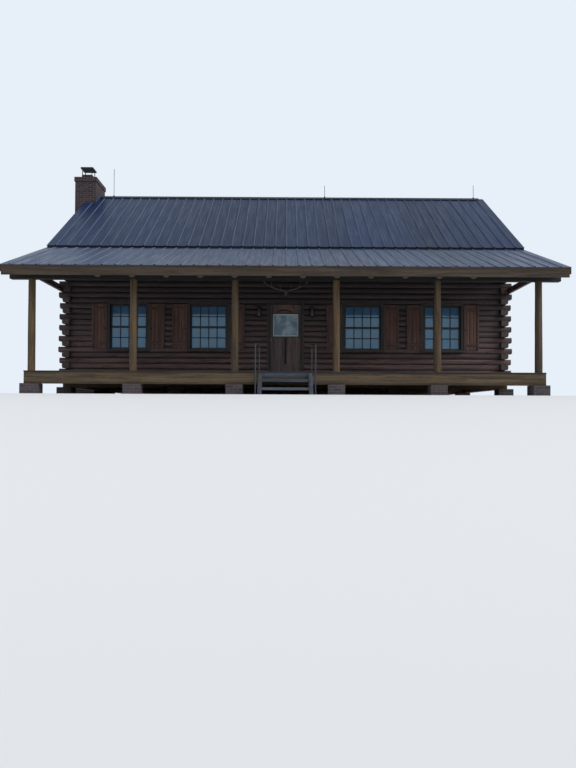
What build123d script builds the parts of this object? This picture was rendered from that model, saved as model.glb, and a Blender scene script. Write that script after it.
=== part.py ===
from build123d import *
from math import ceil, cos, pi, sin
import os

# Log cabin with a full-width front porch, built of D-shaped logs on brick piers.
# X runs along the front, Y runs back into the house and Z is up. The origin is on the
# ground, under the pier below the middle of the front wall.

# Flats round each log post, log rafter, pipe and pin
round_sides = 12

# Floor and foundation
floor_height = 600
pier_side = 400
pier_top = 292
deck_board = 25
floor_board = 32
floor_joist_depth = 184
board_timber = 38
joist_pitch = 609.6

# Log walls
house_length = 12340
house_depth = 7315
wall_thickness = 200
course_height = 152.4
wall_drop = 91
log_bulge = 66
log_tip = 140
log_facets = 3

# Porch
porch_depth = 2440
post_count = 6
post_foot_radius = 90
post_top_radius = 82
post_inset = 74
post_setback = 25
deck_end_margin = 150
girder_height = 153
beam_width = 160
beam_height = 147
rafters_per_bay = 3
log_rafter_count = 12
log_rafter_radius = 92
log_rafter_nose = 145
log_rafter_pocket = 60
log_rafter_seat = 80
end_rafter_depth = 184
fit_gap = 1

# Roofs
roof_overhang = 480
ridge_height = 6265
main_eave_height = 3660
rear_eave = 450
main_rafter_depth = 235
porch_eave_height = 2430
porch_eave_overhang = 450
porch_ceiling = 32
sleeper_depth = 89
roof_step = 70
sheathing = 20
sheet_metal = 8
rib_pitch = 304.8
rib_base = 60
rib_crown = 26
rib_height = 20
fascia_height = 210
metal_drip = 20
ridge_board_depth = 235
rake_depth = 150
main_rake_depth = 184
cap_width = 150
cap_thickness = 4
cap_short = 150

# Chimney
chimney_standoff = 790
chimney_width = 690
chimney_depth = 1000
chimney_rise = 345
chimney_base_depth = 1700
chimney_shoulder_low = 1500
chimney_shoulder_high = 2300
crown_height = 140
crown_overhang = 25
flue_side = 340
flue_wall = 30
flue_height = 130
flue_offset = 200
hood_side = 410
hood_rim = 45
hood_gap = 195
hood_leg = 20
chimney_gap = 5

# Windows and shutters
inner_window_share = 0.3476
outer_window_share = 0.7083
side_window_offset = 1900
glass_width = 930
glass_height = 1140
glass_sill = 816
glass_thickness = 6
sash_width = 45
sash_thickness = 35
sash_play = 2
jamb = 25
casing_width = 65
casing_thickness = 25
sill_nose = 60
sill_height = 40
shutter_width = 430
shutter_height = 1250
shutter_base = 770
shutter_board = 22
batten_height = 90
batten_thickness = 20
batten_inset = 120

# Front door
door_width = 914
door_height = 2032
door_thickness = 45
door_gap = 6
threshold_rise = 20
door_jamb = 50
stop_width = 20
door_glass_width = 730
door_glass_height = 630
door_glass_sill = 1150
knob_height = 1050
knob_inset = 46
knob_radius = 26
knob_length = 24
knob_neck = 10
knob_reach = 36
rose_radius = 32
rose_thickness = 6
hinge_radius = 6.5
hinge_pin = 3
hinge_leaf = 3
hinge_height = 100
hinge_width = 45
hinge_run = 0.3
hinge_inset = 250

# Wall lanterns
lantern_x = 735
lantern_base = 1650
lantern_height = 320
lantern_reach = 120
lantern_plate = 15
lantern_plate_width = 70
lantern_radius = 70
globe_radius = 48
dish_height = 20
cap_rise = 90

# Elk antlers over the door
plaque_level = 2345
plaque_width = 190
plaque_height = 260
plaque_thickness = 22
skull_height = 200
skull_top = 52
skull_nose = 24
antler_seat = 50
antler_span = 1370
antler_rise = 420
antler_forward = 150
antler_root = 27
antler_tip = 9
antler_steps = 6
tine_length = 190
tine_root = 15
tine_tip = 4
tine_count = 4
tine_lean = 0.2
tine_forward = 0.8
heading_step = 0.01

# Steps and handrails
step_count = 2
step_width = 1280
step_going = 280
stringer = 90
stringer_depth = 260
tread_thickness = 60
rail_radius = 17
rail_setback = 60
rail_front = 690
rail_back = 630
rail_height = 650
rail_front_height = 1190
rail_reach = 600
step_toe = 84
step_nose = 160

# Lightning rods
rod_radius = 8
rod_foot = 30
rod_foot_height = 40
rod_places = ((-0.8746, 920), (0.1955, 400), (0.9526, 430))

# Places worked out from the sizes
half_length = house_length / 2
half_wall = wall_thickness / 2
front_face = -half_wall
back_face = front_face + house_depth
ridge_y = front_face + house_depth / 2
wall_base = floor_height - wall_drop
deck_front = front_face - porch_depth
beam_front = deck_front + post_setback
post_y = beam_front + beam_width / 2
half_posts = half_length - post_inset
post_pitch = 2 * half_posts / (post_count - 1)
log_rafter_pitch = post_pitch / rafters_per_bay
half_deck = half_posts + deck_end_margin
half_roof = half_length + roof_overhang
ridge_z = floor_height + ridge_height
main_pitch = (ridge_height - main_eave_height) / (house_depth / 2)
porch_top = main_eave_height - roof_step
porch_eave_reach = porch_depth + porch_eave_overhang
porch_pitch = (porch_top - porch_eave_height) / porch_eave_reach
roof_skin = sheathing + sheet_metal
porch_skin = roof_skin + sleeper_depth + porch_ceiling
chimney_left = -half_length - chimney_standoff
chimney_right = chimney_left + chimney_width
chimney_top = ridge_height + chimney_rise
window_centres = [
    side * share * half_length
    for side in (-1, 1)
    for share in (inner_window_share, outer_window_share)
]
door_sill_top = floor_height + threshold_rise
door_bottom = door_sill_top + door_gap
door_top = door_bottom + door_height
door_clear = door_width / 2 + door_gap
door_rough = door_clear + door_jamb
door_head = door_top + door_gap + door_jamb
window_half = glass_width / 2 + sash_width + sash_play + jamb
window_low = floor_height + glass_sill - sash_width - sash_play - jamb
window_high = window_low + glass_height + 2 * (sash_width + sash_play + jamb)

os.makedirs("parts", exist_ok=True)


def save(piece, name):
    """Label a finished piece and write it as its own STEP file."""
    piece.part.label = name
    export_step(piece.part, f"parts/{name}.step")


def slant(pitch, thickness):
    """Height, measured straight up, of a layer laid on a roof of this pitch."""
    return thickness * (1 + pitch**2) ** 0.5


def main_top(y):
    """Height of the main roof's metal above the ground, at a place front to back."""
    return ridge_z - main_pitch * abs(y - ridge_y)


def porch_roof_top(y):
    """Height of the porch roof's metal above the ground, at a place in front of the wall."""
    return floor_height + porch_top - porch_pitch * (front_face - y)


def log_rafter_axis(y):
    """Height of the middle of the porch's log rafters, at a place in front of the wall."""
    return porch_roof_top(y) - slant(porch_pitch, porch_skin + log_rafter_radius)


# The walls have as many whole courses as reach about the middle of the main rafters, and
# the porch beam ends on the course that gives the log rafters their seat
rafter_middle = main_top(front_face) - slant(main_pitch, roof_skin + main_rafter_depth / 2)
wall_courses = round((rafter_middle - wall_base) / course_height)
wall_top = wall_base + wall_courses * course_height
rafter_low = log_rafter_axis(beam_front) - slant(porch_pitch, log_rafter_radius)
plate_course = round((rafter_low + log_rafter_seat - wall_base) / course_height)
plate_top = wall_base + plate_course * course_height
post_top = plate_top - beam_height


def log_face(low, seam, crest):
    """Points up one log's rounded face, from the seam under it to the seam over it."""
    widest = sin(pi * (log_facets // 2) / log_facets)
    turns = [pi * i / log_facets for i in range(log_facets + 1)]
    return [
        (seam + (crest - seam) * sin(turn) / widest, low + course_height * (1 - cos(turn)) / 2)
        for turn in turns
    ]


def log_stack(courses):
    """Section of stacked D-shaped logs: flat inside, one rounded bulge a course outside."""
    seam = wall_thickness - log_bulge
    height = courses * course_height
    points = [(0, height), (0, 0)]
    for course in range(courses):
        points += log_face(course * course_height, seam, wall_thickness)[:-1]
    with BuildSketch() as section:
        with BuildLine():
            Polyline(*points, (seam, height), close=True)
        make_face()
    return section.sketch


def upright(low_radius, high_radius, length):
    """Standing piece with flats round it, such as a post, a pin or a spike."""
    with BuildPart() as piece:
        for level, radius in ((0, low_radius), (length, high_radius)):
            with BuildSketch(Plane.XY.offset(level)):
                RegularPolygon(radius, round_sides)
        loft(ruled=True)
    return piece.part


def wall_plane(outward, x, y, z):
    """Plane of a wall's section: its own X points out of the house and its Y points up."""
    run = Vector(*outward).cross(Vector(0, 0, 1))
    return Plane(origin=(x, y, z), x_dir=outward, z_dir=run)


def cut_windows(places, along_y=False):
    """Cut the windows' rough openings through a wall, inside the wall's own block."""
    size = (2 * window_half, 3 * wall_thickness, window_high - window_low)
    if along_y:
        size = (size[1], size[0], size[2])
    with Locations(*[(x, y, (window_low + window_high) / 2) for x, y in places]):
        Box(*size, mode=Mode.SUBTRACT)


def cut_corner(x, y, courses, along_y=False):
    """Shorten the given courses of a wall, so that the crossing logs pass at its end."""
    reach = wall_thickness + log_tip
    size = (reach, 2 * reach, course_height)
    if along_y:
        size = (2 * reach, reach, course_height)
    with Locations(*[(x, y, wall_base + (i + 0.5) * course_height) for i in courses]):
        Box(*size, mode=Mode.SUBTRACT)


even_courses = range(0, wall_courses, 2)
odd_courses = range(1, wall_courses, 2)
corner_mid = half_length - wall_thickness + (wall_thickness + log_tip) / 2


def rafter_rows(count, pitch):
    """Places along X of a row of rafters, centred on the house."""
    return [(i - (count - 1) / 2) * pitch for i in range(count)]


def slope_plane(y, z, pitch, side):
    """Plane across a roof slope: its own Y stands off the roof and its Z runs down it."""
    down = Vector(0, side, -pitch).normalized()
    return Plane(origin=(0, y, z), x_dir=(-side, 0, 0), z_dir=down)


porch_rise = slant(porch_pitch, 1)
log_rafter_top = front_face + log_rafter_pocket
log_rafter_plane = slope_plane(log_rafter_top, log_rafter_axis(log_rafter_top), porch_pitch, -1)
log_rafter_rows = rafter_rows(log_rafter_count, log_rafter_pitch)


# Brick piers under the porch posts and the house sills
pier_x = half_length + log_tip - pier_side / 2
with BuildPart() as brick_piers:
    with BuildSketch(Plane.XY):
        with Locations((0, post_y)):
            with GridLocations(post_pitch, 0, post_count, 1):
                Rectangle(pier_side, pier_side)
        for y, reach in (
            (0, pier_x),
            (ridge_y, half_length - pier_side / 2),
            (back_face - half_wall, pier_x),
        ):
            with Locations((0, y)):
                with GridLocations(reach / 2, 0, 5, 1):
                    Rectangle(pier_side, pier_side)
    extrude(amount=pier_top)
save(brick_piers, "brick_piers")

# Sill timbers on the piers, and the house floor between them
with BuildPart() as house_sills:
    with BuildSketch(Plane.XY.offset(pier_top)):
        for y in (0, back_face - half_wall):
            with Locations((0, y)):
                Rectangle(house_length, wall_thickness)
        with Locations((0, ridge_y)):
            Rectangle(house_length - 2 * wall_thickness, wall_thickness)
            with GridLocations(house_length - wall_thickness, 0, 2, 1):
                Rectangle(wall_thickness, house_depth - 2 * wall_thickness)
    extrude(amount=wall_base - pier_top)
save(house_sills, "house_sills")

inner_half = half_length - wall_thickness
inner_back = back_face - wall_thickness
joist_top = floor_height - floor_board
half_bay = (ridge_y - half_wall) - half_wall
with BuildPart() as house_floor:
    with BuildSketch(Plane.XY.offset(joist_top)):
        with Locations((0, ridge_y)):
            Rectangle(2 * inner_half, house_depth - 2 * wall_thickness)
    extrude(amount=floor_board)
save(house_floor, "house_floor")

# Porch floor: girder on the piers, rim board, joists and deck
girder_top = pier_top + girder_height
rim_height = floor_height - deck_board - girder_top
with BuildPart() as porch_girder:
    with BuildSketch(Plane.XY.offset(pier_top)):
        with Locations((0, post_y)):
            Rectangle(2 * half_deck, beam_width)
    extrude(amount=girder_height)
save(porch_girder, "porch_girder")

rim_front = post_y - beam_width / 2
with BuildPart() as porch_rim:
    with BuildSketch(Plane.XY.offset(girder_top)):
        with Locations((0, rim_front + board_timber / 2)):
            Rectangle(2 * half_deck, board_timber)
    extrude(amount=rim_height)
save(porch_rim, "porch_rim")

porch_joist = front_face - rim_front - board_timber
with BuildPart() as floor_joists:
    with BuildSketch(Plane.XY.offset(joist_top - floor_joist_depth)):
        for y in (half_wall + half_bay / 2, ridge_y + half_wall + half_bay / 2):
            with Locations((0, y)):
                with GridLocations(joist_pitch, 0, int(2 * inner_half / joist_pitch), 1):
                    Rectangle(board_timber, half_bay)
    extrude(amount=floor_joist_depth)
    with BuildSketch(Plane.XY.offset(girder_top)):
        with Locations((0, front_face - porch_joist / 2)):
            with GridLocations(joist_pitch, 0, int(2 * half_deck / joist_pitch) - 1, 1):
                Rectangle(board_timber, porch_joist)
            with GridLocations(2 * half_deck - board_timber, 0, 2, 1):
                Rectangle(board_timber, porch_joist)
    extrude(amount=rim_height)
save(floor_joists, "floor_joists")

with BuildPart() as porch_deck:
    with BuildSketch(Plane.XY.offset(floor_height - deck_board)):
        with Locations((0, front_face - porch_depth / 2)):
            Rectangle(2 * half_deck, porch_depth)
    extrude(amount=deck_board)
save(porch_deck, "porch_deck")


# Log walls: the front wall in pieces beside and over the door
def pocket_sketch():
    """Round pockets for the log rafters' upper ends, in the plane of their end faces."""
    with BuildSketch() as section:
        with Locations(*[(x, 0) for x in log_rafter_rows]):
            RegularPolygon(log_rafter_radius + fit_gap, round_sides)
    return section.sketch


side_run = half_length + log_tip - door_rough
for side, name in ((-1, "front_wall_left"), (1, "front_wall_right")):
    start = -door_rough if side < 0 else half_length + log_tip
    with BuildPart() as front_wall:
        with BuildSketch(wall_plane((0, -1, 0), start, half_wall, wall_base)):
            add(log_stack(wall_courses))
        extrude(amount=side_run)
        cut_corner(side * corner_mid, 0, even_courses)
        cut_windows([(x, 0) for x in window_centres if x * side > 0])
        with BuildSketch(log_rafter_plane):
            add(pocket_sketch())
        extrude(amount=wall_thickness, mode=Mode.SUBTRACT)
    save(front_wall, name)

with BuildPart() as front_wall_over_door:
    with BuildSketch(wall_plane((0, -1, 0), door_rough, half_wall, wall_base)):
        add(log_stack(wall_courses))
    extrude(amount=2 * door_rough)
    with Locations((0, 0, door_head)):
        Box(
            3 * door_rough,
            3 * wall_thickness,
            door_head,
            align=(Align.CENTER, Align.CENTER, Align.MAX),
            mode=Mode.SUBTRACT,
        )
    with BuildSketch(log_rafter_plane):
        add(pocket_sketch())
    extrude(amount=wall_thickness, mode=Mode.SUBTRACT)
save(front_wall_over_door, "front_wall_over_door")

with BuildPart() as back_wall:
    start = -half_length - log_tip
    with BuildSketch(wall_plane((0, 1, 0), start, inner_back, wall_base)):
        add(log_stack(wall_courses))
    extrude(amount=house_length + 2 * log_tip)
    for side in (-1, 1):
        cut_corner(side * corner_mid, back_face, even_courses)
    cut_windows([(x, inner_back + half_wall) for x in window_centres])
save(back_wall, "back_wall")

# Side walls: at the front corners the logs between deck and porch ceiling run past the wall
tip_limit = porch_roof_top(front_face - log_tip) - slant(porch_pitch, porch_skin)
flush_courses = [
    course
    for course in even_courses
    if wall_base + course * course_height < floor_height
    or wall_base + (course + 1) * course_height > tip_limit
]
for side, name in ((-1, "left_wall"), (1, "right_wall")):
    low_y = front_face - log_tip
    high_y = back_face + log_tip
    start = low_y if side < 0 else high_y
    with BuildPart() as side_wall:
        with BuildSketch(wall_plane((side, 0, 0), side * inner_half, start, wall_base)):
            add(log_stack(wall_courses))
        extrude(amount=high_y - low_y)
        middle = side * (half_length - half_wall)
        reach = (wall_thickness + log_tip) / 2
        cut_corner(middle, half_wall - reach, odd_courses, along_y=True)
        cut_corner(middle, inner_back + reach, odd_courses, along_y=True)
        cut_corner(middle, front_face - reach, flush_courses, along_y=True)
        places = [(middle, ridge_y + turn * side_window_offset) for turn in (-1, 1)]
        cut_windows(places, along_y=True)
    save(side_wall, name)

# Log gables on the side walls, cut to the roof's slope
gable_courses = ceil((ridge_z - wall_top) / course_height)
gable_peak = ridge_z - slant(main_pitch, roof_skin)
gable_drop = main_pitch * house_depth / 2
for side, name in ((-1, "left_gable"), (1, "right_gable")):
    start = front_face if side < 0 else back_face
    with BuildPart() as gable:
        with BuildSketch(wall_plane((side, 0, 0), side * inner_half, start, wall_top)):
            add(log_stack(gable_courses))
        extrude(amount=house_depth)
        with BuildSketch(Plane.YZ.offset(side * half_length - wall_thickness * 1.5)):
            with BuildLine():
                Polyline(
                    (front_face, wall_top - course_height),
                    (front_face, gable_peak - gable_drop),
                    (ridge_y, gable_peak),
                    (back_face, gable_peak - gable_drop),
                    (back_face, wall_top - course_height),
                    close=True,
                )
            make_face()
        extrude(amount=3 * wall_thickness, mode=Mode.INTERSECT)
    save(gable, name)


# Main roof frame: ridge board and notched rafters on the wall tops
ridge_board_top = ridge_z - slant(main_pitch, roof_skin) - main_pitch * board_timber / 2
with BuildPart() as ridge_board:
    with Locations((0, ridge_y, ridge_board_top)):
        Box(
            2 * inner_half,
            board_timber,
            ridge_board_depth,
            align=(Align.CENTER, Align.CENTER, Align.MAX),
        )
save(ridge_board, "ridge_board")


def main_rafter_section(side, tail):
    """Side view of one main rafter, with its plumb cuts and its notch on the wall."""
    inner = ridge_y + side * board_timber / 2
    outer = ridge_y + side * (house_depth / 2 + tail)
    wall_in = ridge_y + side * (house_depth / 2 - wall_thickness)
    wall_out = ridge_y + side * house_depth / 2
    skin = slant(main_pitch, roof_skin)
    deep = skin + slant(main_pitch, main_rafter_depth)
    with BuildSketch() as section:
        with BuildLine():
            Polyline(
                (inner, main_top(inner) - skin),
                (outer, main_top(outer) - skin),
                (outer, main_top(outer) - deep),
                (inner, main_top(inner) - deep),
                close=True,
            )
        make_face()
        with Locations(((wall_in + wall_out) / 2, wall_top)):
            Rectangle(
                wall_thickness,
                2 * course_height,
                align=(Align.CENTER, Align.MAX),
                mode=Mode.SUBTRACT,
            )
    return section.sketch


main_rafter_count = int((2 * inner_half - board_timber) / joist_pitch) + 1
main_rafter_count -= main_rafter_count % 2
with BuildPart() as main_rafters:
    for side, tail in ((-1, 0), (1, rear_eave)):
        rows = rafter_rows(main_rafter_count, joist_pitch)
        with BuildSketch(*[Plane.YZ.offset(x - board_timber / 2) for x in rows]):
            add(main_rafter_section(side, tail))
        extrude(amount=board_timber)
save(main_rafters, "main_rafters")

# Porch frame: log posts, beam, log rafters with hewn seats, side beams and sawn end rafters
porch_post = upright(post_foot_radius, post_top_radius, post_top - floor_height)
with BuildPart() as porch_posts:
    with Locations((0, post_y, floor_height)):
        with GridLocations(post_pitch, 0, post_count, 1):
            add(porch_post)
save(porch_posts, "porch_posts")

rake_face = half_roof - board_timber
with BuildPart() as porch_beam:
    with BuildSketch(Plane.XY.offset(post_top)):
        with Locations((0, post_y)):
            Rectangle(2 * rake_face, beam_width)
    extrude(amount=beam_height)
save(porch_beam, "porch_beam")


def cut_seats():
    """Cut the seats for the porch beam, inside the block of the rafters that rest on it."""
    with Locations((0, post_y, plate_top)):
        Box(
            2 * rake_face,
            beam_width,
            2 * beam_height,
            align=(Align.CENTER, Align.CENTER, Align.MAX),
            mode=Mode.SUBTRACT,
        )


log_rafter_run = log_rafter_top - (beam_front - log_rafter_nose)
with BuildPart() as log_rafters:
    with BuildSketch(log_rafter_plane):
        with Locations(*[(x, 0) for x in log_rafter_rows]):
            RegularPolygon(log_rafter_radius, round_sides)
    extrude(amount=log_rafter_run * porch_rise)
    cut_seats()
save(log_rafters, "log_rafters")


def porch_layer(y0, y1, above, thickness):
    """Side view of a layer of the porch roof, this far below its top and this thick."""
    high = slant(porch_pitch, above)
    low = slant(porch_pitch, above + thickness)
    with BuildSketch() as section:
        with BuildLine():
            Polyline(
                (y0, porch_roof_top(y0) - high),
                (y1, porch_roof_top(y1) - high),
                (y1, porch_roof_top(y1) - low),
                (y0, porch_roof_top(y0) - low),
                close=True,
            )
        make_face()
    return section.sketch


with BuildPart() as side_beams:
    for side in (-1, 1):
        with BuildSketch(Plane.XZ.offset(-half_wall)):
            inner = side * half_length
            outer = side * (half_length + log_tip)
            seam = side * (half_length + log_tip - log_bulge)
            with BuildLine():
                Polyline(
                    (inner, plate_top + course_height),
                    (inner, plate_top),
                    *log_face(plate_top, seam, outer),
                    close=True,
                )
            make_face()
        extrude(amount=half_wall - beam_front)
    with BuildSketch(Plane.YZ.offset(-half_roof)):
        add(porch_layer(front_face, beam_front, 0, porch_skin))
    extrude(amount=2 * half_roof, mode=Mode.SUBTRACT)
save(side_beams, "side_beams")

end_rafter_rows = [
    side * x
    for side in (-1, 1)
    for x in ((log_rafter_count + 1) / 2 * log_rafter_pitch, rake_face - board_timber / 2)
]
with BuildPart() as end_rafters:
    with BuildSketch(*[Plane.YZ.offset(x - board_timber / 2) for x in end_rafter_rows]):
        add(porch_layer(front_face, beam_front, porch_skin, end_rafter_depth))
    extrude(amount=board_timber)
    cut_seats()
save(end_rafters, "end_rafters")

eave_y = front_face - porch_eave_reach
fascia_face = eave_y + metal_drip
tail_y = fascia_face + board_timber
fascia_bottom = porch_roof_top(fascia_face) - slant(porch_pitch, roof_skin) - fascia_height
with BuildPart() as porch_ceiling_boards:
    with BuildSketch(Plane.YZ.offset(-rake_face)):
        add(porch_layer(front_face, tail_y, roof_skin + sleeper_depth, porch_ceiling))
    extrude(amount=2 * rake_face)
save(porch_ceiling_boards, "porch_ceiling_boards")

sleeper_count = int((2 * rake_face - board_timber) / log_rafter_pitch) + 1
sleeper_count -= 1 - sleeper_count % 2
sleeper_rows = rafter_rows(sleeper_count, log_rafter_pitch)
with BuildPart() as porch_sleepers:
    with BuildSketch(*[Plane.YZ.offset(x - board_timber / 2) for x in sleeper_rows]):
        add(porch_layer(front_face, tail_y, roof_skin, sleeper_depth))
    extrude(amount=board_timber)
save(porch_sleepers, "porch_sleepers")

with BuildPart() as porch_fascia:
    with BuildSketch(Plane.YZ.offset(-rake_face)):
        with BuildLine():
            Polyline(
                (fascia_face, fascia_bottom),
                (fascia_face, fascia_bottom + fascia_height),
                (tail_y, porch_roof_top(tail_y) - slant(porch_pitch, roof_skin)),
                (tail_y, fascia_bottom),
                close=True,
            )
        make_face()
    extrude(amount=2 * rake_face)
save(porch_fascia, "porch_fascia")


# Roof skins: boards, then ribbed metal
def cut_chimney_slot():
    """Cut the place where the chimney passes, inside a roof piece's block."""
    with Locations(((chimney_left + chimney_right) / 2, ridge_y, ridge_z)):
        Box(
            chimney_width + 2 * chimney_gap,
            chimney_depth + 2 * chimney_gap,
            ridge_height,
            mode=Mode.SUBTRACT,
        )


rib_count = int(2 * rake_face / rib_pitch)
rib_count -= 1 - rib_count % 2


def metal_section():
    """Section of the ribbed roof metal, with its pan's underside at zero."""
    points = [(half_roof, 0), (half_roof, sheet_metal)]
    for i in range(rib_count):
        middle = ((rib_count - 1) / 2 - i) * rib_pitch
        points += [
            (middle + rib_base / 2, sheet_metal),
            (middle + rib_crown / 2, sheet_metal + rib_height),
            (middle - rib_crown / 2, sheet_metal + rib_height),
            (middle - rib_base / 2, sheet_metal),
        ]
    points += [(-half_roof, sheet_metal), (-half_roof, 0)]
    with BuildSketch() as section:
        with BuildLine():
            Polyline(*points, close=True)
        make_face()
    return section.sketch


def board_section():
    """Section of the roof boards under the metal."""
    with BuildSketch() as section:
        Rectangle(2 * rake_face, sheathing, align=(Align.CENTER, Align.MAX))
    return section.sketch


main_metal = metal_section()
slope_rise = slant(main_pitch, 1)
ridge_under = ridge_z - slant(main_pitch, sheet_metal)
for side, tail, name in ((-1, 0, "front"), (1, rear_eave, "back")):
    run = (house_depth / 2 + tail) * slope_rise
    plane = slope_plane(ridge_y, ridge_under, main_pitch, side)
    with BuildPart() as roof_metal:
        with BuildSketch(plane):
            add(main_metal)
        extrude(amount=run + 2 * metal_drip)
        split(bisect_by=Plane.XZ.offset(-ridge_y), keep=Keep.TOP if side < 0 else Keep.BOTTOM)
        cut_chimney_slot()
    save(roof_metal, f"main_roof_metal_{name}")
    with BuildPart() as roof_boards:
        with BuildSketch(plane):
            add(board_section())
        extrude(amount=run)
        split(bisect_by=Plane.XZ.offset(-ridge_y), keep=Keep.TOP if side < 0 else Keep.BOTTOM)
        cut_chimney_slot()
    save(roof_boards, f"main_roof_boards_{name}")

porch_plane = slope_plane(
    front_face, porch_roof_top(front_face) - slant(porch_pitch, sheet_metal), porch_pitch, -1
)
with BuildPart() as porch_roof_metal:
    with BuildSketch(porch_plane):
        add(main_metal)
    extrude(amount=porch_eave_reach * porch_rise)
    split(bisect_by=Plane.XZ.offset(-front_face), keep=Keep.TOP)
save(porch_roof_metal, "porch_roof_metal")

with BuildPart() as porch_roof_boards:
    with BuildSketch(porch_plane):
        add(board_section())
    extrude(amount=(porch_eave_reach - metal_drip) * porch_rise)
    split(bisect_by=Plane.XZ.offset(-front_face), keep=Keep.TOP)
save(porch_roof_boards, "porch_roof_boards")

# Ridge cap: a bent strip that rides on the ribs
cap_seat = ridge_z + slant(main_pitch, rib_height)
cap_top = cap_seat + slant(main_pitch, cap_thickness)
cap_drop = main_pitch * cap_width
cap_left = chimney_right + chimney_gap
cap_right = half_roof - cap_short
with BuildPart() as ridge_cap:
    with BuildSketch(Plane.YZ.offset(cap_left)):
        with BuildLine():
            Polyline(
                (ridge_y - cap_width, cap_seat - cap_drop),
                (ridge_y, cap_seat),
                (ridge_y + cap_width, cap_seat - cap_drop),
                (ridge_y + cap_width, cap_top - cap_drop),
                (ridge_y, cap_top),
                (ridge_y - cap_width, cap_top - cap_drop),
                close=True,
            )
        make_face()
    extrude(amount=cap_right - cap_left)
save(ridge_cap, "ridge_cap")

# Rake boards along the roof ends, two to each main gable and one to each porch end
main_rake_skin = slant(main_pitch, sheet_metal)
main_rake_deep = slant(main_pitch, sheet_metal + main_rake_depth)
with BuildPart() as rake_boards:
    for side, tail in ((-1, 0), (1, rear_eave)):
        end = ridge_y + side * (house_depth / 2 + tail)
        with BuildSketch(Plane.YZ.offset(-half_roof), Plane.YZ.offset(rake_face)):
            with BuildLine(Plane.XY):
                Polyline(
                    (end, main_top(end) - main_rake_skin),
                    (ridge_y, ridge_z - main_rake_skin),
                    (ridge_y, ridge_z - main_rake_deep),
                    (end, main_top(end) - main_rake_deep),
                    close=True,
                )
            make_face()
        extrude(amount=board_timber)
    cut_chimney_slot()
    with BuildSketch(Plane.YZ.offset(-half_roof), Plane.YZ.offset(rake_face)):
        add(porch_layer(front_face, fascia_face, sheet_metal, rake_depth))
    extrude(amount=board_timber)
save(rake_boards, "rake_boards")

# Brick chimney outside the left gable: broad foot, sloped shoulders, stack and crown
chimney_x = (chimney_left + chimney_right) / 2
crown_top = floor_height + chimney_top + crown_height
with BuildPart() as chimney:
    with BuildSketch(Plane.YZ.offset(chimney_left)):
        with BuildLine():
            Polyline(
                (ridge_y - chimney_base_depth / 2, 0),
                (ridge_y - chimney_base_depth / 2, floor_height + chimney_shoulder_low),
                (ridge_y - chimney_depth / 2, floor_height + chimney_shoulder_high),
                (ridge_y + chimney_depth / 2, floor_height + chimney_shoulder_high),
                (ridge_y + chimney_base_depth / 2, floor_height + chimney_shoulder_low),
                (ridge_y + chimney_base_depth / 2, 0),
                close=True,
            )
        make_face()
    extrude(amount=-half_length - chimney_left)
    with BuildSketch(Plane.XY.offset(floor_height + chimney_shoulder_high)):
        with Locations((chimney_x, ridge_y)):
            Rectangle(chimney_width, chimney_depth)
    extrude(amount=chimney_top - chimney_shoulder_high)
    with BuildSketch(Plane.XY.offset(floor_height + chimney_top)):
        with Locations((chimney_x, ridge_y)):
            Rectangle(chimney_width + 2 * crown_overhang, chimney_depth + 2 * crown_overhang)
    extrude(amount=crown_height)
save(chimney, "chimney")

flue_y = ridge_y - flue_offset
with BuildPart() as chimney_flue:
    with BuildSketch(Plane.XY.offset(crown_top)):
        with Locations((chimney_x, flue_y)):
            Rectangle(flue_side, flue_side)
            Rectangle(flue_side - 2 * flue_wall, flue_side - 2 * flue_wall, mode=Mode.SUBTRACT)
    extrude(amount=flue_height)
save(chimney_flue, "chimney_flue")

flue_top = crown_top + flue_height
with BuildPart() as chimney_hood:
    with BuildSketch(Plane.XY.offset(flue_top + hood_gap)):
        with Locations((chimney_x, flue_y)):
            Rectangle(hood_side, hood_side)
    extrude(amount=hood_rim)
    with BuildSketch(Plane.XY.offset(flue_top)):
        with Locations((chimney_x, flue_y)):
            with GridLocations(flue_side - flue_wall, flue_side - flue_wall, 2, 2):
                Rectangle(hood_leg, hood_leg)
    extrude(amount=hood_gap)
save(chimney_hood, "chimney_hood")


# Windows: frame with casing and sill, sash and glass
def window_stations():
    """Plane of each window: origin on the log crests, X along the wall and Z outward."""
    middle = (window_low + window_high) / 2
    places = []
    for x in window_centres:
        places.append(Plane((x, front_face, middle), x_dir=(1, 0, 0), z_dir=(0, -1, 0)))
        places.append(Plane((x, back_face, middle), x_dir=(-1, 0, 0), z_dir=(0, 1, 0)))
    for side in (-1, 1):
        for y in (ridge_y - side_window_offset, ridge_y + side_window_offset):
            corner = (side * half_length, y, middle)
            places.append(Plane(corner, x_dir=(0, side, 0), z_dir=(side, 0, 0)))
    return places


def ring(wide, high, border):
    """Rectangular ring of the given border."""
    with BuildSketch() as section:
        Rectangle(wide, high)
        Rectangle(wide - 2 * border, high - 2 * border, mode=Mode.SUBTRACT)
    return section.sketch


opening_height = window_high - window_low
casing_wide = 2 * (window_half - jamb + casing_width)
casing_high = opening_height - 2 * jamb + 2 * casing_width
with BuildPart() as window_frame:
    with BuildSketch(Plane.XY.offset(-wall_thickness)):
        add(ring(2 * window_half, opening_height, jamb))
    extrude(amount=wall_thickness)
    with BuildSketch(Plane.XY):
        add(ring(casing_wide, casing_high, casing_width))
    extrude(amount=casing_thickness)
    with BuildSketch(Plane.XY.offset(casing_thickness)):
        with Locations((0, -casing_high / 2)):
            Rectangle(casing_wide, sill_height, align=(Align.CENTER, Align.MIN))
    extrude(amount=sill_nose - casing_thickness)
with BuildPart() as window_frames:
    with Locations(*window_stations()):
        add(window_frame.part)
save(window_frames, "window_frames")

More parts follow.
